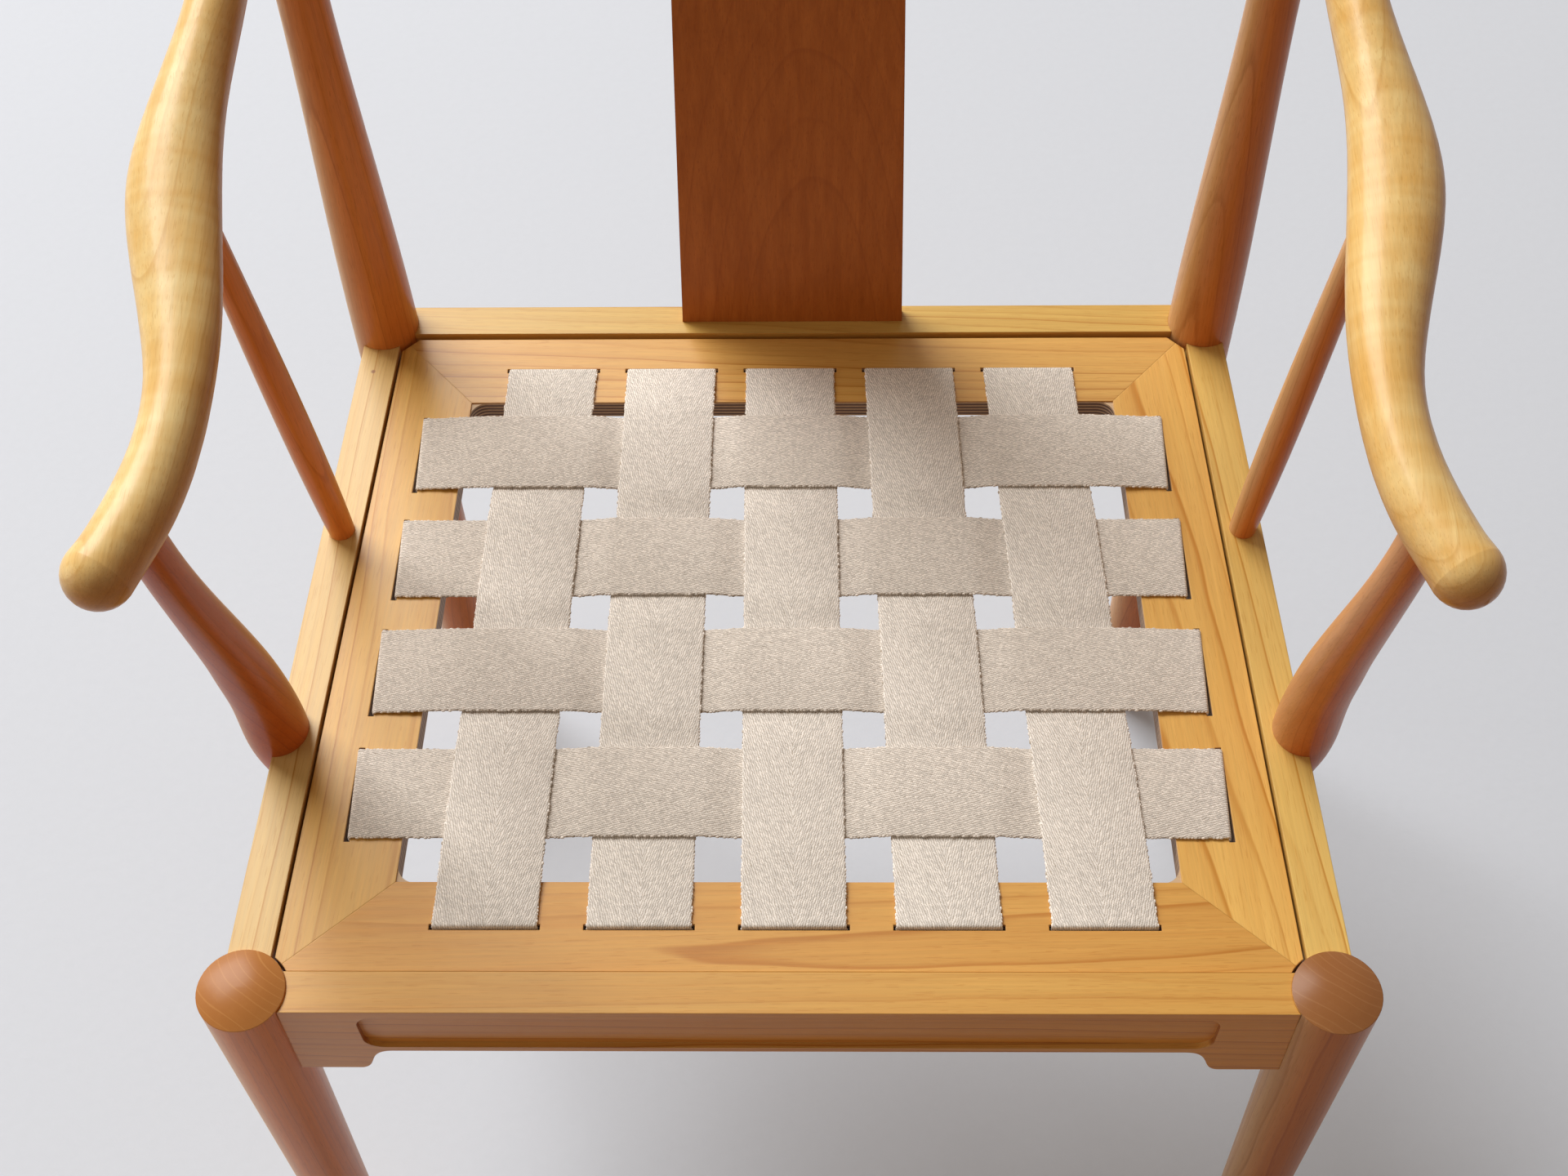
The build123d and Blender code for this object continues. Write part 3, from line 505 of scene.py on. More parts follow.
@dataclass(frozen=True)
class LinenFinish:
    """Linen webbing in one chevron: ribs of short stitches that meet on the middle line."""

    pale: Colour
    # colour of the hollows between the ribs, darkened as painted shade
    valley: Colour
    heading: float = 1.0  # which way the chevrons point
    rib_pitch: float = 1.15 * MM
    rib_slope: float = 0.29
    rib_floor: float = 0.45  # height between two stitches
    stitch: float = 0.95 * MM
    slant: float = 0.8  # of a rib, in stitches
    stagger: float = 0.35  # of rows, in stitches
    step_over: float = 0.5  # from row to row, in stitches
    wander: Pattern = Pattern(60, 60, 0, 1)  # of the ribs together
    wander_reach: float = 0.6 * MM
    crook: Pattern = Pattern(420, 300, 7, 1)  # of single ribs
    crook_reach: float = 1.5 * MM
    slope: Span = (0.02, 0.62)  # heights from the painted shade in the hollows between ribs to the pale tops
    darkest: float = 0.63
    stitch_depth: float = 0.32
    slub: Pattern = Pattern(900, 90, 0)  # thick threads
    slub_depth: float = 0.28
    weft_slub: Pattern = Pattern(120, 700, 3)
    weft_slub_depth: float = 0.14
    fuzz: Pattern = Pattern(5200, 5200, 0)
    fuzz_depth: float = 0.06
    fuzz_relief: float = 0.25
    selvedge: Span = (24 * MM, 24.5 * MM)  # middle line to the paler edge threads
    selvedge_lift: float = 0.10
    roughness: float = 0.90
    worn: float = 0.10  # how much smoother the ribs' tops are
    relief: float = 0.22 * MM
    relief_strength: float = 0.55
    sheen: float = 0.15
    shine: float = 0.25

    def material(self, name: str) -> Material:
        """Makes the weave from the straps' own across and along lengths."""
        tree = Surface(name)
        across, along = self.length(tree, "across"), self.length(tree, "along")
        side = abs(across)
        wander, crook, slub, weft_slub, fuzz = (
            tree.noise(across, along, 1.0, pattern)
            for pattern in (self.wander, self.crook, self.slub, self.weft_slub, self.fuzz)
        )
        bent = wander.swing(self.wander_reach) + crook.swing(self.crook_reach)
        rib = (side - along * (self.rib_slope * self.heading) + bent) / self.rib_pitch
        row, within = rib.floor(), rib.part()
        early = tree.chance(row) * self.stagger
        step = along / self.stitch - within * self.slant + early + row * self.step_over
        tone = tree.chance(tree.pack(row, step.floor(), across > 0.0), "3D")
        top = step.part().hump() * (1.0 - self.rib_floor)
        height = within.hump() * (self.rib_floor + top)
        # Painted shade: the hollows between the ribs are darker than their tops.
        colour = tree.blend(height.ease(*self.slope), self.valley, self.pale)
        shade = self.darkest + tone * self.stitch_depth + slub * self.slub_depth
        shade = shade + weft_slub * self.weft_slub_depth + fuzz * self.fuzz_depth
        shade = shade + side.ease(*self.selvedge, 0.0, self.selvedge_lift)
        bumps = height + fuzz * self.fuzz_relief
        return tree.finish(
            Base_Color=tree.shade(colour, shade),
            Roughness=self.roughness - height * self.worn,
            Normal=tree.bump(bumps, self.relief, self.relief_strength),
            Sheen_Weight=self.sheen,
            Specular_IOR_Level=self.shine,
        )

    @staticmethod
    def length(tree: Surface, name: str) -> Wire:
        """One of the strap's own lengths, in metres."""
        return tree.wire("Attribute", output="Fac", attribute_type="GEOMETRY", attribute_name=name)


@dataclass(frozen=True)
class SteelFinish:
    """Zinc plated steel of the screws and staples."""

    bright: Colour = (0.62, 0.61, 0.58)
    dull: Colour = (0.42, 0.41, 0.39)
    patch: Pattern = Pattern(900, 900, 900, 3)
    roughness: float = 0.28
    patch_rough: float = 0.25
    relief: float = 0.02 * MM

    def material(self, name: str) -> Material:
        """Makes the plating with its cloudy patches."""
        tree = Surface(name)
        patch = tree.noise(*tree.unpack(tree.own("Object")), self.patch)
        return tree.finish(
            Base_Color=tree.blend(patch, self.dull, self.bright),
            Metallic=1.0,
            Roughness=self.roughness + patch * self.patch_rough,
            Normal=tree.bump(patch, self.relief),
        )


# -------- wooden parts
@dataclass(frozen=True)
class WoodenParts:
    """The chair's wooden pieces, each with its own cut of cherry."""

    rail: CherryFinish = CherryFinish(
        light=(0.73, 0.445, 0.125), deep=(0.61, 0.315, 0.07), line=(0.46, 0.165, 0.006),
        turned_away=(1.13, 0.90, 0.74),
    )
    veneer: CherryFinish = CherryFinish(
        light=(0.72, 0.42, 0.105), deep=(0.60, 0.295, 0.058), line=(0.44, 0.155, 0.005),
        ring_pitch=4.6 * MM,
    )
    arm: CherryFinish = CherryFinish(
        light=(0.87, 0.675, 0.31), deep=(0.75, 0.45, 0.125), line=(0.56, 0.27, 0.03),
        ring_pitch=5.5 * MM, line_depth=0.42, figure=0.45, gloss=0.42, shine=0.25,
        coat_roughness=0.19, curl=0.6, turned_away=(0.72, 0.42, 0.17), paled=(-0.50, 0.66),
        ends=0.0,
    )
    upright: CherryFinish = CherryFinish(
        light=(0.78, 0.45, 0.17), deep=(0.62, 0.31, 0.09), line=(0.44, 0.18, 0.04), line_depth=0.50,
        figure=0.40, gloss=0.55, shine=0.08, coat_roughness=0.27, curl=0.10,
        turned_away=(0.96, 0.52, 0.24), paled=(-0.56, 0.22),
    )
    board: CherryFinish = CherryFinish(
        light=(0.74, 0.40, 0.125), deep=(0.60, 0.29, 0.07), line=(0.42, 0.17, 0.03),
        line_depth=0.28, figure=0.15, streaks=1.5, waver=2.5 * MM, ring_pitch=6 * MM, gloss=0.06,
        shine=0.2, turned_away=(0.68, 0.35, 0.17),
    )
    cleat: CherryFinish = CherryFinish(
        light=(0.62, 0.40, 0.20), deep=(0.50, 0.28, 0.12), gloss=0.0, roughness=0.6,
    )

    def cuts(self) -> dict[str, tuple[CherryFinish, WoodCut]]:
        """Finish and cut of each wooden node, by its name."""
        side, deep, tall = Grain
        rail, veneer, arm, post, cleat = self.rail, self.veneer, self.arm, self.upright, self.cleat
        # The left arm post gets a deeper painted shade and more gloss.
        darker_shade_post = replace(post, turned_away=(0.76, 0.33, 0.12), gloss=0.42)
        rail_knot = (((-0.2373, 0.1221, 0.415), 1.2 * MM),)
        leg_knot = (((-0.2335, 0.146, 0.618), 1.8 * MM),)
        # Each row's tone is partly the piece's own and partly painted light and shade, brighter for
        # pieces that stand in more light.
        rows = (
            ("front_rail", rail, side, (0, -0.215, 0.335), (0, 0.6, 0.5), (0.97, 0.90, 0.74)),
            ("back_rail", rail, side, (0, 0.23, 0.33), (0, -0.8, -1.2), (0.94, 1.03, 0.92)),
            ("side_rail_left", rail, deep, (-0.20, 0, 0.345), (0.5, 0, -3.2),
             (1, 1.16, 1.5), rail_knot),
            ("side_rail_right", rail, deep, (0.205, 0, 0.34), (-0.5, 0, 3), (1.12, 1.26, 1.3)),
            ("face_veneer_front", veneer, side, (0, -0.225, 0.365), (0, 0.5, 1.4), (1.02, 0.97, 0.9)),
            ("face_veneer_back", veneer, side, (0, 0.16, 0.36), (0, -0.6, -1)),
            ("face_veneer_left", veneer, deep, (-0.19, 0, 0.34), (0.9, 0, -3.4), (1.05, 1.09, 1.06)),
            ("face_veneer_right", veneer, deep, (0.185, 0, 0.35), (-0.9, 0, 3.4), (1.18, 1.24, 1.3)),
            ("splat", self.board, tall, (0.012, 0.105, 0.6), (-5.5, 0.3, 0)),
            ("arm_left", arm, deep, (-0.215, 0, 0.64), (5, 0, 1)),
            ("arm_right", arm, deep, (0.29, 0, 0.65), (5, 0, -2), (0.94, 0.90, 0.84)),
            ("crest_rail", arm, side, (0, 0.30, 0.77), (0, 2, 1)),
            ("arm_post_left", darker_shade_post, tall, (-0.225, -0.12, 0.5), (20, 3, 0), (1, 0.86, 0.78)),
            ("arm_post_right", post, tall, (0.285, -0.15, 0.5), (20, -3, 0), (0.86, 0.74, 0.80)),
            ("side_spindle_left", post, tall, (-0.28, 0.04, 0.5), (0, -4, 0), (1.12, 1.15, 1.25)),
            ("side_spindle_right", post, tall, (0.22, 0.03, 0.5), (0, 4, 0), (1, 1.02, 1.25)),
            ("front_leg_left", post, tall, (-0.225, -0.225, 0.2), (0.4, 1.2, 0), (1.16, 1.18, 1.05)),
            ("front_leg_right", post, tall, (0.285, -0.22, 0.2), (0.4, -1.2, 0), (0.78, 0.80, 0.92)),
            ("rear_leg_left", post, tall, (-0.205, 0.185, 0.4), (-1.8, 0.8, 0),
             (1, 1.05, 1.2), leg_knot),
            ("rear_leg_right", post, tall, (0.265, 0.19, 0.4), (-1.8, -0.8, 0), (0.90, 0.88, 0.98)),
            ("cleat_front", cleat, side, (0, -0.28, 0.35)),
            ("cleat_back", cleat, side, (0, 0.19, 0.35)),
            ("cleat_left", cleat, deep, (-0.27, 0, 0.35)),
            ("cleat_right", cleat, deep, (0.27, 0, 0.35)),
            ("arm_post_dowels", post, side, (0, -0.13, 0.37)),
        )
        return {name: (finish, WoodCut(*cut)) for name, finish, *cut in rows}

    def dress(self, nodes: dict[str, Object]) -> None:
        """Gives every wooden node its own material."""
        for name, (finish, cut) in self.cuts().items():
            wear(nodes[name], finish.material(f"cherry_{name}", cut))
            log.info("%s: %s grain", name, cut.grain.name.lower())


def wear(piece: Object, material: Material) -> None:
    """Puts one material on the whole piece."""
    piece.data.materials.clear()
    piece.data.materials.append(material)


# -------- woven seat
@dataclass(frozen=True)
class StrapRun:
    """One strap's way from slot to slot, in its own line before it is turned onto the seat."""

    name: str
    length: float  # between the slots' outer edges
    crossings: tuple[float, ...]  # from the first slot
    over: tuple[bool, ...]
    middle: tuple[float, float]
    finish: LinenFinish
    drift: float = 0.0  # sideways shift each metre along it
    pull: float = 0.0  # share by which one edge is shorter, each metre across
    turn: float = 0.0  # about Z, radians


@dataclass(frozen=True)
class WovenSeat:
    """Five lengthwise and four crosswise straps with their selvedges."""

    width: float = 50 * MM
    thickness: float = 1.55 * MM
    slot_front: float = -222.25 * MM
    slot_back: float = 125.25 * MM
    slot_middle: float = 1.5 * MM  # slot's outer edge to the strap's middle
    slot_margin: float = 32.55 * MM  # panel's side edge to the side slots
    panel_front: float = -254.5 * MM
    panel_half: float = 252 * MM  # half width at the front edge
    side_slope: float = 0.0438  # how fast the panel's sides run in to the back
    front_places: tuple[float, ...] = (-0.1428, -0.0698, 0.0032, 0.0762, 0.1492)
    back_places: tuple[float, ...] = (-0.135, -0.068, -0.001, 0.066, 0.133)
    rows: tuple[float, ...] = (-0.14945, -0.07855, -0.00765, 0.06325)
    low: float = 414.1 * MM  # middle of a strap that goes under
    high: float = 416 * MM  # and of one that goes over
    under: float = 399.9 * MM  # middle of the tails
    tail: float = 19 * MM  # slot's outer edge to the tail's end
    flat: float = 50 * MM  # level stretch at each crossing
    bend: float = 1 * MM
    tail_steps: int = 6
    slot_steps: int = 5
    bend_steps: int = 4
    top_step: float = 2 * MM
    corner_share: float = 0.45  # of the thickness
    corner_steps: int = 3
    loop_pitch: float = 1.75 * MM
    loop_room: float = 0.6 * MM  # strap's width less the band's
    loop_inset: float = 0.15 * MM
    loop_wobble: Span = (-0.22 * MM, 0.18 * MM)
    loop_size: Place = (0.55 * MM, 0.62 * MM, 0.90 * MM)
    loop_fullness: Span = (0.8, 1.2)
    first_seed: int = 11
    lengthwise: LinenFinish = LinenFinish(pale=(0.845, 0.80, 0.745), valley=(0.48, 0.42, 0.345))
    crosswise: LinenFinish = LinenFinish(
        pale=(0.79, 0.735, 0.67), valley=(0.40, 0.34, 0.275), heading=-1.0
    )

    def runs(self) -> list[StrapRun]:
        """All nine straps' runs."""
        reach = self.slot_back - self.slot_front
        halfway = (self.slot_front + self.slot_back) / 2
        along = tuple(row - self.slot_front for row in self.rows)
        columns = list(zip(self.front_places, self.back_places))
        found = []
        for column, (front, back) in enumerate(columns):
            name = f"linen_lengthwise_{column + 1}"
            over = tuple((row + column) % 2 == 0 for row in range(len(self.rows)))
            middle, drift = ((front + back) / 2, halfway), (back - front) / reach
            found.append(StrapRun(name, reach, along, over, middle, self.lengthwise, drift))
        for row, place in enumerate(self.rows):
            name = f"linen_crosswise_{row + 1}"
            edge = self.panel_half - self.side_slope * (place - self.panel_front)
            half = edge - self.slot_margin
            share = (place - self.slot_front) / reach
            across = tuple(front + (back - front) * share + half for front, back in columns)
            over = tuple((row + column) % 2 == 1 for column in range(len(columns)))
            strap = StrapRun(name, 2 * half, across, over, (0.0, place), self.crosswise)
            pull = -self.side_slope / 2 / half
            found.append(replace(strap, pull=pull, turn=-math.pi / 2))
        return found

    def level(self, run: StrapRun, place: float) -> float:
        """Height of a strap's middle at a place along it."""
        stops = [(0.0, self.low)]
        for crossing, over in zip(run.crossings, run.over):
            height = self.high if over else self.low
            stops += [(crossing - self.flat / 2, height), (crossing + self.flat / 2, height)]
        stops.append((run.length, self.low))
        for (start, first), (end, second) in zip(stops, stops[1:]):
            if start <= place <= end and end > start:
                share = (place - start) / (end - start)
                return first + (second - first) * share * share * (3 - 2 * share)
        return self.low

    def path(self, run: StrapRun) -> list[tuple[float, float]]:
        """Middle line of a strap, tail to tail.

        Args:
            run: The strap's run.

        Returns:
            Points of place along it from the first slot, and height.
        """
        slot, bend = self.slot_middle, self.bend
        angles = [math.pi / 2 * step / self.bend_steps for step in range(self.bend_steps + 1)]
        inwards = (self.tail - slot - bend) / self.tail_steps
        rise = (self.low - self.under - 2 * bend) / self.slot_steps
        foot, head = self.under + bend, self.low - bend
        start = [(self.tail - step * inwards, self.under) for step in range(self.tail_steps)]
        start += [(slot + bend - bend * math.sin(a), foot - bend * math.cos(a)) for a in angles]
        start += [(slot, foot + step * rise) for step in range(1, self.slot_steps)]
        start += [(slot + bend - bend * math.cos(a), head + bend * math.sin(a)) for a in angles]
        first, last = slot + bend, run.length - slot - bend
        count = round((last - first) / self.top_step)
        places = [first + (last - first) * step / count for step in range(1, count)]
        top = [(place, self.level(run, place)) for place in places]
        return start + top + [(run.length - place, height) for place, height in reversed(start)]

    def seed_piece(self, run: StrapRun) -> tuple[Object, float]:
        """Makes the path as a chain of edges that carries its own length as an attribute.

        Args:
            run: The strap's run.

        Returns:
            The chain, and its whole length.
        """
        spots = [(0.0, place - run.length / 2, height) for place, height in self.path(run)]
        walked = [0.0]
        for before, after in zip(spots, spots[1:]):
            walked.append(walked[-1] + math.dist(before, after))
        edges = [(i, i + 1) for i in range(len(spots) - 1)]
        return seedling(run.name, spots, edges, along=walked), walked[-1]

    def tree(self) -> NodeTree:
        """Builds the tree that weaves a strap and its selvedges along a path."""
        numbers = "Width, Thickness, Loop Pitch, Drift, Pull"
        others = {"Vector": "Turn, Middle", "Material": "Linen", "Int": "Seed"}
        tree = ShapeTree("strap", Geometry="Path", Float=numbers, **others)
        given = tree.given
        curve = tree.wire("MeshToCurve", {"Mesh": given["Path"]})
        sizes = {"Width": given["Width"], "Height": given["Thickness"]}
        outline = tree.wire("CurvePrimitiveQuadrilateral", sizes)
        corner = given["Thickness"] * self.corner_share
        outline = tree.rounded(outline, corner, self.corner_steps)
        sideways, _, _ = tree.unpack(tree.wire("InputPosition"))
        outline = tree.store(outline, "across", sideways)
        parts = [tree.swept(curve, outline)]
        parts += [self.selvedge(tree, curve, side) for side in (-1.0, 1.0)]
        joined = tree.node("JoinGeometry")
        for part in parts:
            tree.tree.links.new(part.socket, joined.inputs[0])
        whole = tree.wire("RealizeInstances", {"Geometry": Wire(tree, joined.outputs[0])})

        x, y, z = tree.unpack(tree.wire("InputPosition"))
        laid = tree.pack(x + y * given["Drift"], y * (1.0 + x * given["Pull"]), z)
        whole = tree.wire("SetPosition", {"Geometry": whole, "Position": laid})
        turned = {"Geometry": whole, "Rotation": given["Turn"], "Translation": given["Middle"]}
        whole = tree.wire("Transform", turned)
        return tree.finish(whole, given["Linen"])

    def selvedge(self, tree: ShapeTree, curve: Wire, side: float) -> Wire:
        """Row of turned-back weft loops along one edge.

        Args:
            tree: The strap's tree.
            curve: The strap's path.
            side: 1 for one edge, -1 for the other.

        Returns:
            The loops as instances.
        """
        width = tree.given["Width"]
        sockets = {"Curve": curve, "Length": tree.given["Loop Pitch"]}
        spots = tree.node("CurveToPoints", sockets, mode="LENGTH")
        points, turn = (Wire(tree, spots.outputs[name]) for name in ("Points", "Rotation"))
        out = (width * 0.5 - self.loop_inset + tree.chosen(*self.loop_wobble)) * side
        offset = tree.pack(out, 0.0, 0.0)
        points = tree.wire("SetPosition", {"Geometry": points, "Offset": offset})
        points = tree.store(points, "across", width * (0.5 * side))
        loop = tree.wire("MeshUVSphere", {"Segments": 6, "Rings": 4, "Radius": 1.0})
        fullness = tree.chosen(*self.loop_fullness)
        scale = tree.pack(*(fullness * size for size in self.loop_size))
        sockets = {"Points": points, "Instance": loop, "Rotation": turn, "Scale": scale}
        return tree.wire("InstanceOnPoints", sockets)

    def build(self) -> None:
        """Weaves all straps."""
        tree = self.tree()
        cloth = {
            self.lengthwise: self.lengthwise.material("linen_lengthwise"),
            self.crosswise: self.crosswise.material("linen_crosswise"),
        }
        for number, run in enumerate(self.runs()):
            piece, full = self.seed_piece(run)
            values = {"Width": self.width - self.loop_room, "Thickness": self.thickness}
            values |= {"Loop Pitch": self.loop_pitch, "Drift": run.drift, "Pull": run.pull}
            values |= {"Turn": (0.0, 0.0, run.turn), "Middle": (*run.middle, 0.0)}
            values |= {"Linen": cloth[run.finish], "Seed": self.first_seed + number}
            grow(piece, tree, values)
            kind, place = run.name.split("_")[1:]
            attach(piece, "seat")
            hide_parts(f"{kind}_strap_{place}")
            log.info("%s: %.0f mm of webbing, %s", run.name, full / MM, extent(piece))


@dataclass(frozen=True)
class TailStaples:
    """Wire staples that hold the strap tails up against the panel's underside."""

    from_slot: float = 11 * MM  # slot's outer edge to the crowns
    sideways: tuple[float, ...] = (-18.6 * MM, -6.2 * MM, 6.2 * MM, 18.6 * MM)
    crown: float = 10 * MM
    leg: float = 8 * MM
    wire: float = 0.6 * MM
    corner: float = 0.7 * MM
    corner_steps: int = 2
    sides: int = 6  # of the round wire
    level: float = 398.87 * MM
    skew: float = math.radians(5.0)
    seed: int = 23

    def spots(self, runs: list[StrapRun]) -> tuple[list[Vector], list[float]]:
        """Place and turn of every staple.

        Args:
            runs: The straps whose tails are stapled.

        Returns:
            The crowns' middles, and the straps' turns about Z in radians.
        """
        places, turns = [], []
        for run in runs:
            for along in (self.from_slot - run.length / 2, run.length / 2 - self.from_slot):
                for across in self.sideways:
                    ahead = along * (1 + across * run.pull)
                    laid = Vector((across + along * run.drift, ahead, 0.0))
                    laid.rotate(Matrix.Rotation(run.turn, 3, "Z"))
                    places.append(laid + Vector((*run.middle, self.level)))
                    turns.append(run.turn)
        return places, turns

    def tree(self) -> NodeTree:
        """Builds the tree that bends a staple from wire and sets one at each spot."""
        numbers = "Crown, Leg, Wire, Corner, Skew"
        others = {"Int": "Seed", "Material": "Steel"}
        tree = ShapeTree("staples", Geometry="Spots", Float=numbers, **others)
        given = tree.given
        bend = tree.wire("MeshLine", {"Count": 4})
        number = tree.wire("InputIndex")
        right = (number > 1.5) * 2.0 - 1.0
        tip = abs(number - 1.5) > 1.0
        corners = tree.pack(right * given["Crown"] * 0.5, 0.0, tip * given["Leg"])
        bend = tree.wire("SetPosition", {"Geometry": bend, "Position": corners})
        bend = tree.wire("MeshToCurve", {"Mesh": bend})
        bend = tree.rounded(bend, given["Corner"], self.corner_steps)
        round_wire = {"Resolution": self.sides, "Radius": given["Wire"] * 0.5}
        outline = tree.wire("CurvePrimitiveCircle", round_wire)
        staple = tree.swept(bend, outline)
        turn = tree.wire("InputNamedAttribute", {"Name": "turn"}, data_type="FLOAT")
        askew = tree.chosen(given["Skew"] * -1.0, given["Skew"])
        rotation = tree.pack(0.0, 0.0, turn + askew)
        sockets = {"Points": given["Spots"], "Instance": staple, "Rotation": rotation}
        whole = tree.wire("InstanceOnPoints", sockets)
        whole = tree.wire("RealizeInstances", {"Geometry": whole})
        return tree.finish(whole, given["Steel"])

    def build(self, runs: list[StrapRun], steel: Material) -> None:
        """Drives all staples, as one piece that rides on the seat."""
        places, turns = self.spots(runs)
        piece = seedling("tail_staples", places, [], turn=turns)
        # the tree's inputs are named after the sizes
        sizes = {name.title(): size for name, size in vars(self).items()}
        grow(piece, self.tree(), sizes | {"Steel": steel})
        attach(piece, "seat")
        log.info("%s: %d staples, %s", piece.name, len(places), extent(piece))


def seedling(
    name: str, spots: list[Any], edges: list[tuple[int, int]], **numbers: list[float]
) -> Object:
    """Makes the bare points that a geometry tree starts from.

    Args:
        name: The piece's name.
        spots: The points.
        edges: Pairs of points that are joined.
        numbers: What each point carries, by name.

    Returns:
        The piece.
    """
    mesh = bpy.data.meshes.new(name)
    mesh.from_pydata(spots, edges, [])
    for key, values in numbers.items():
        mesh.attributes.new(key, "FLOAT", "POINT").data.foreach_set("value", values)
    piece = bpy.data.objects.new(name, mesh)
    bpy.context.scene.collection.objects.link(piece)
    return piece


def grow(piece: Object, tree: NodeTree, values: dict[str, Any]) -> None:
    """Runs a geometry tree on a piece and keeps the result as its plain mesh.

    Args:
        piece: The piece, whose mesh is what the tree starts from.
        tree: The tree.
        values: The tree's inputs by name.
    """
    modifier = piece.modifiers.new("grow", "NODES")
    modifier.node_group = tree
    for item in tree.interface.items_tree:
        if item.in_out == "INPUT" and item.name in values:
            modifier[item.identifier] = values[item.name]
    bpy.context.view_layer.update()
    graph = bpy.context.evaluated_depsgraph_get()
    mesh = bpy.data.meshes.new_from_object(
        piece.evaluated_get(graph), preserve_all_data_layers=True, depsgraph=graph
    )
    piece.modifiers.remove(modifier)
    piece.data = mesh


def extent(piece: Object) -> str:
    """Lowest and highest corner of a piece in millimetres, for the log."""
    spots = [vertex.co for vertex in piece.data.vertices]
    low, high = (
        [round(pick(spot[i] for spot in spots) / MM, 1) for i in range(3)] for pick in (min, max)
    )
    return f"{low} to {high}"


# -------- studio
@dataclass(frozen=True)
class Lamp:
    """A square softbox that faces the seat."""

    name: str
    place: Place
    size: float
    power: float
    colour: Colour
    target: Place = (0.0, 0.0, 0.4)

    def hang(self) -> None:
        """Hangs the lamp and turns it to its target."""
        data = bpy.data.lights.new(self.name, "AREA")
        data.shape = "SQUARE"
        data.size = self.size
        data.energy = self.power
        data.color = self.colour
        lamp = bpy.data.objects.new(self.name, data)
        lamp.location = self.place
        ahead = Vector(self.target) - Vector(self.place)
        lamp.rotation_euler = ahead.to_track_quat("-Z", "Y").to_euler()
        bpy.context.scene.collection.objects.link(lamp)


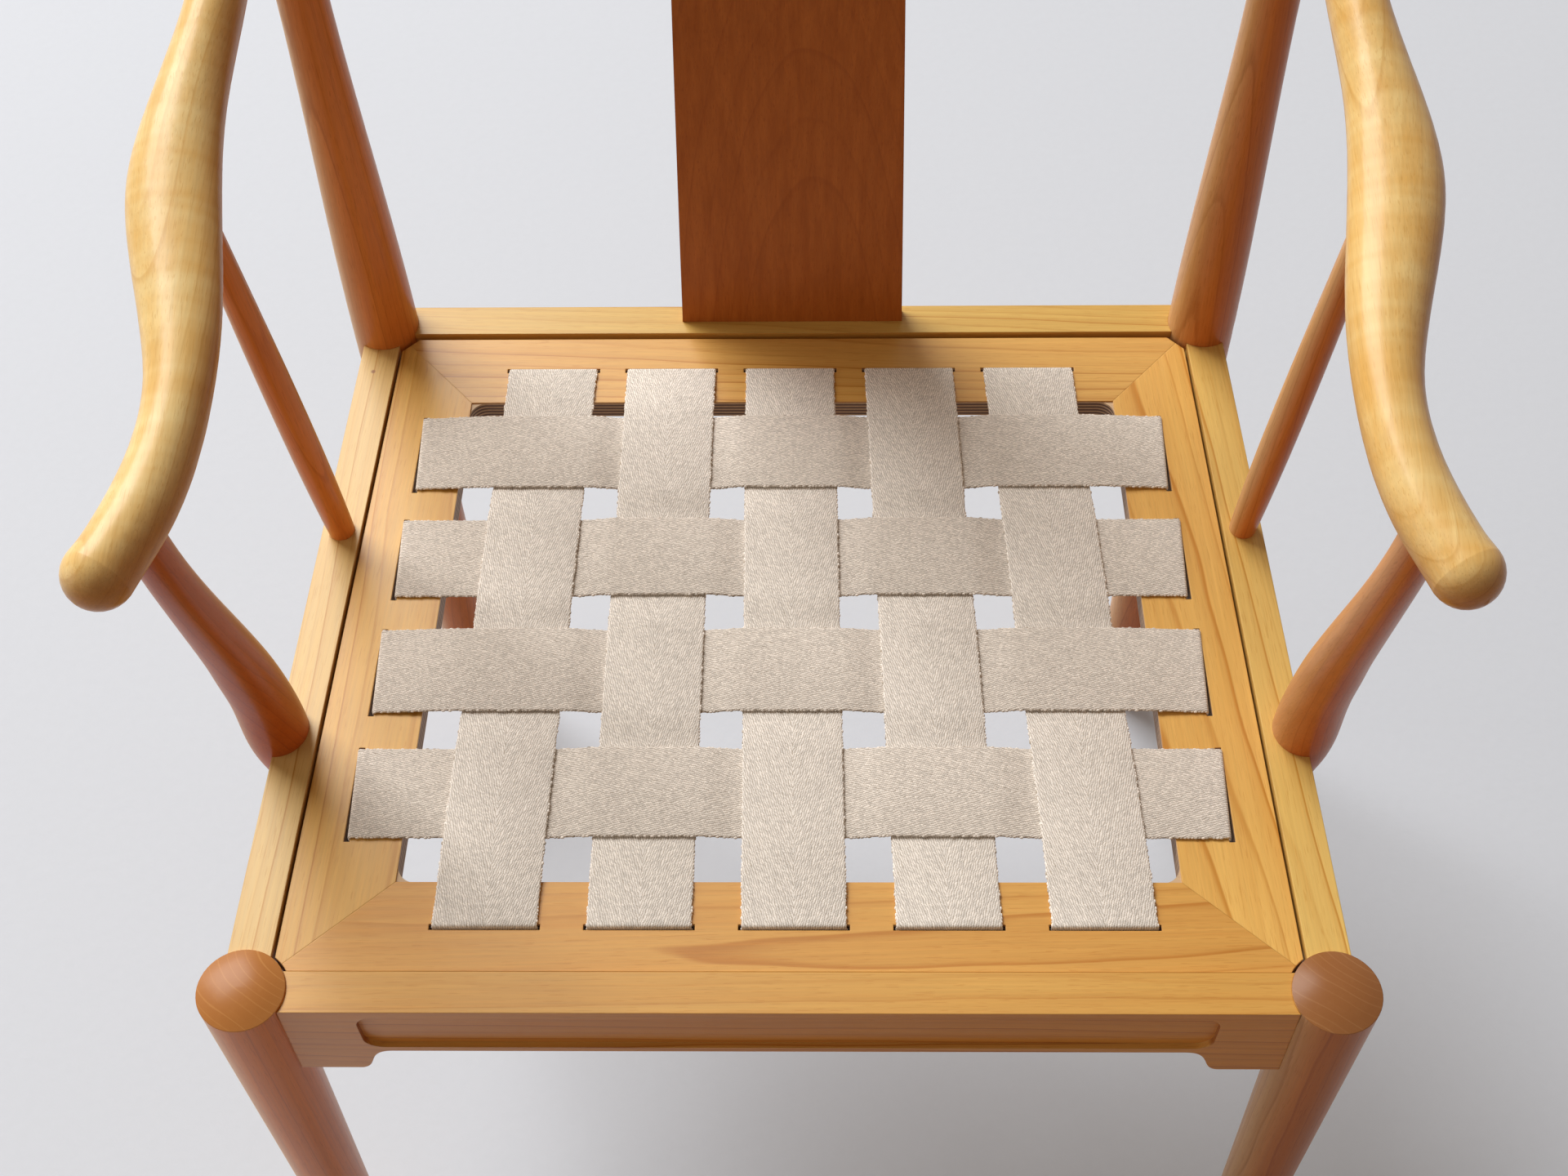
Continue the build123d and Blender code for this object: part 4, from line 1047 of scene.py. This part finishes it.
@dataclass(frozen=True)
class Studio:
    """Floor, lamps, world and camera."""

    floor_size: float = 14.0
    floor_colour: Colour = (0.615, 0.655, 0.725)
    floor_glow: Colour = (0.62, 0.64, 0.67)  # painted glow that the floor gives off to the camera and in gloss, which also lifts its shadows
    glow_strength: float = 0.06
    floor_bounce: Colour = (0.34, 0.268, 0.212)  # what the floor throws back onto the chair
    floor_roughness: float = 0.75
    floor_shine: float = 0.1
    dapple: Pattern = Pattern(140, 140, 140)
    dapple_depth: float = 0.03
    dapple_relief: float = 0.3 * MM
    dapple_strength: float = 0.4
    paint: Pattern = Pattern(520, 520, 520, 3, 0.6)
    paint_depth: float = 0.02
    dimming: Span = (-1.2, 1.6)  # painted fall-off of light: from left to right, where the floor is painted dimmer
    dimmest: float = 0.93
    camera_place: Place = (0.015, -0.6375, 1.292)
    pitch: float = 55.18
    yaw: float = -1.70
    roll: float = 1.48
    lens: float = 46.875  # millimetres, as is the sensor
    sensor: float = 36.0
    nearest: float = 0.05
    lamps: tuple[Lamp, ...] = (
        Lamp("key", (-4.5, 5.9, 7.9), 6.4, 1400.0, (1.0, 0.985, 0.96)),
        Lamp("side", (-6.0, -1.0, 2.3), 4.0, 85.0, (1.0, 0.97, 0.92)),
    )
    world_strength: float = 0.21
    wall_strength: float = 0.68  # how bright the room looks
    wall_colour: Colour = (0.95, 0.97, 1.0)
    fill_colour: Colour = (1.0, 0.77, 0.57)  # light that comes back from a warm room

    def build(self) -> None:
        """Sets up the whole studio."""
        self.set_camera()
        self.set_floor()
        for lamp in self.lamps:
            lamp.hang()
        self.set_world()
        bpy.context.scene.view_settings.view_transform = "Standard"

    def set_camera(self) -> None:
        """Places the camera above the front of the seat, looking down and back."""
        pitch, yaw, roll = (math.radians(angle) for angle in (self.pitch, self.yaw, self.roll))
        level = math.cos(pitch)
        ahead = Vector((math.sin(yaw) * level, math.cos(yaw) * level, -math.sin(pitch)))
        right = Vector((math.cos(yaw), -math.sin(yaw), 0.0))
        down = ahead.cross(right)
        turned_right = right * math.cos(roll) + down * math.sin(roll)
        turned_down = down * math.cos(roll) - right * math.sin(roll)
        data = bpy.data.cameras.new("seat_view")
        data.lens = self.lens
        data.sensor_width = self.sensor
        data.sensor_fit = "HORIZONTAL"
        data.clip_start = self.nearest
        camera = bpy.data.objects.new("seat_view", data)
        columns = Matrix((turned_right, -turned_down, -ahead)).transposed()
        camera.matrix_world = Matrix.Translation(self.camera_place) @ columns.to_4x4()
        bpy.context.scene.collection.objects.link(camera)
        bpy.context.scene.camera = camera

    def set_floor(self) -> None:
        """Lays a plain pale floor under the feet."""
        half = self.floor_size / 2
        corners = [(-half, -half, 0), (half, -half, 0), (half, half, 0), (-half, half, 0)]
        mesh = bpy.data.meshes.new("floor")
        mesh.from_pydata(corners, [], [(0, 1, 2, 3)])
        floor = bpy.data.objects.new("floor", mesh)
        bpy.context.scene.collection.objects.link(floor)
        tree = Surface("studio_floor")
        x, y, z = tree.unpack(tree.own("Object"))
        dapple = tree.noise(x, y, z, self.dapple)
        paint = tree.noise(x, y, z, self.paint)
        mottle = 1.0 + dapple.swing(self.dapple_depth) + paint.swing(self.paint_depth)
        # Painted fall-off of light: the floor's colour and glow grow darker towards the right, on top
        # of its mottle.
        mottle_and_falloff = mottle * x.ease(*self.dimming, 1.0, self.dimmest)
        shown = self.shown(tree)
        colour = tree.blend(shown, self.floor_bounce, self.floor_colour)
        glow = tree.blend(shown, (0.0, 0.0, 0.0), self.floor_glow)
        floor_look = tree.finish(
            Base_Color=tree.shade(colour, mottle_and_falloff),
            Roughness=self.floor_roughness,
            Specular_IOR_Level=self.floor_shine,
            Normal=tree.bump(dapple, self.dapple_relief, self.dapple_strength),
            Emission_Color=tree.shade(glow, mottle_and_falloff),
            Emission_Strength=self.glow_strength,
        )
        wear(floor, floor_look)

    def set_world(self) -> None:
        """Fills the room with even light, warm on the chair and faintly cool to look at."""
        world = bpy.data.worlds.new("room")
        bpy.context.scene.world = world
        world.use_nodes = True
        bench = Bench(world.node_tree)
        shown = self.shown(bench)
        strength = shown * (self.wall_strength - self.world_strength) + self.world_strength
        colour = bench.blend(shown, self.fill_colour, self.wall_colour)
        sockets = {"Color": colour, "Strength": strength}
        light = bench.wire("Background", sockets)
        bench.node("OutputWorld", {"Surface": light})

    @staticmethod
    def shown(bench: Bench) -> Wire:
        """1 for rays that look at the room, straight or in a gloss, and 0 for lighting rays."""
        rays = bench.node("LightPath")
        seen = Wire(bench, rays.outputs["Is Camera Ray"])
        for kind in ("Is Glossy Ray", "Is Transmission Ray"):
            seen = seen.most(Wire(bench, rays.outputs[kind]))
        return seen


def main() -> None:
    """Builds and dresses everything in order."""
    logging.basicConfig(level=logging.INFO, format="%(name)s: %(message)s")
    nodes = frame["nodes"]
    Studio().build()
    WoodenParts().dress(nodes)
    wear(nodes["seat_panel"], PlywoodFinish().material("plywood_panel"))
    steel = SteelFinish().material("zinc_steel")
    wear(nodes["cleat_screws"], steel)
    seat = WovenSeat()
    seat.build()
    TailStaples().build(seat.runs(), steel)


if __name__ == "__main__":
    main()
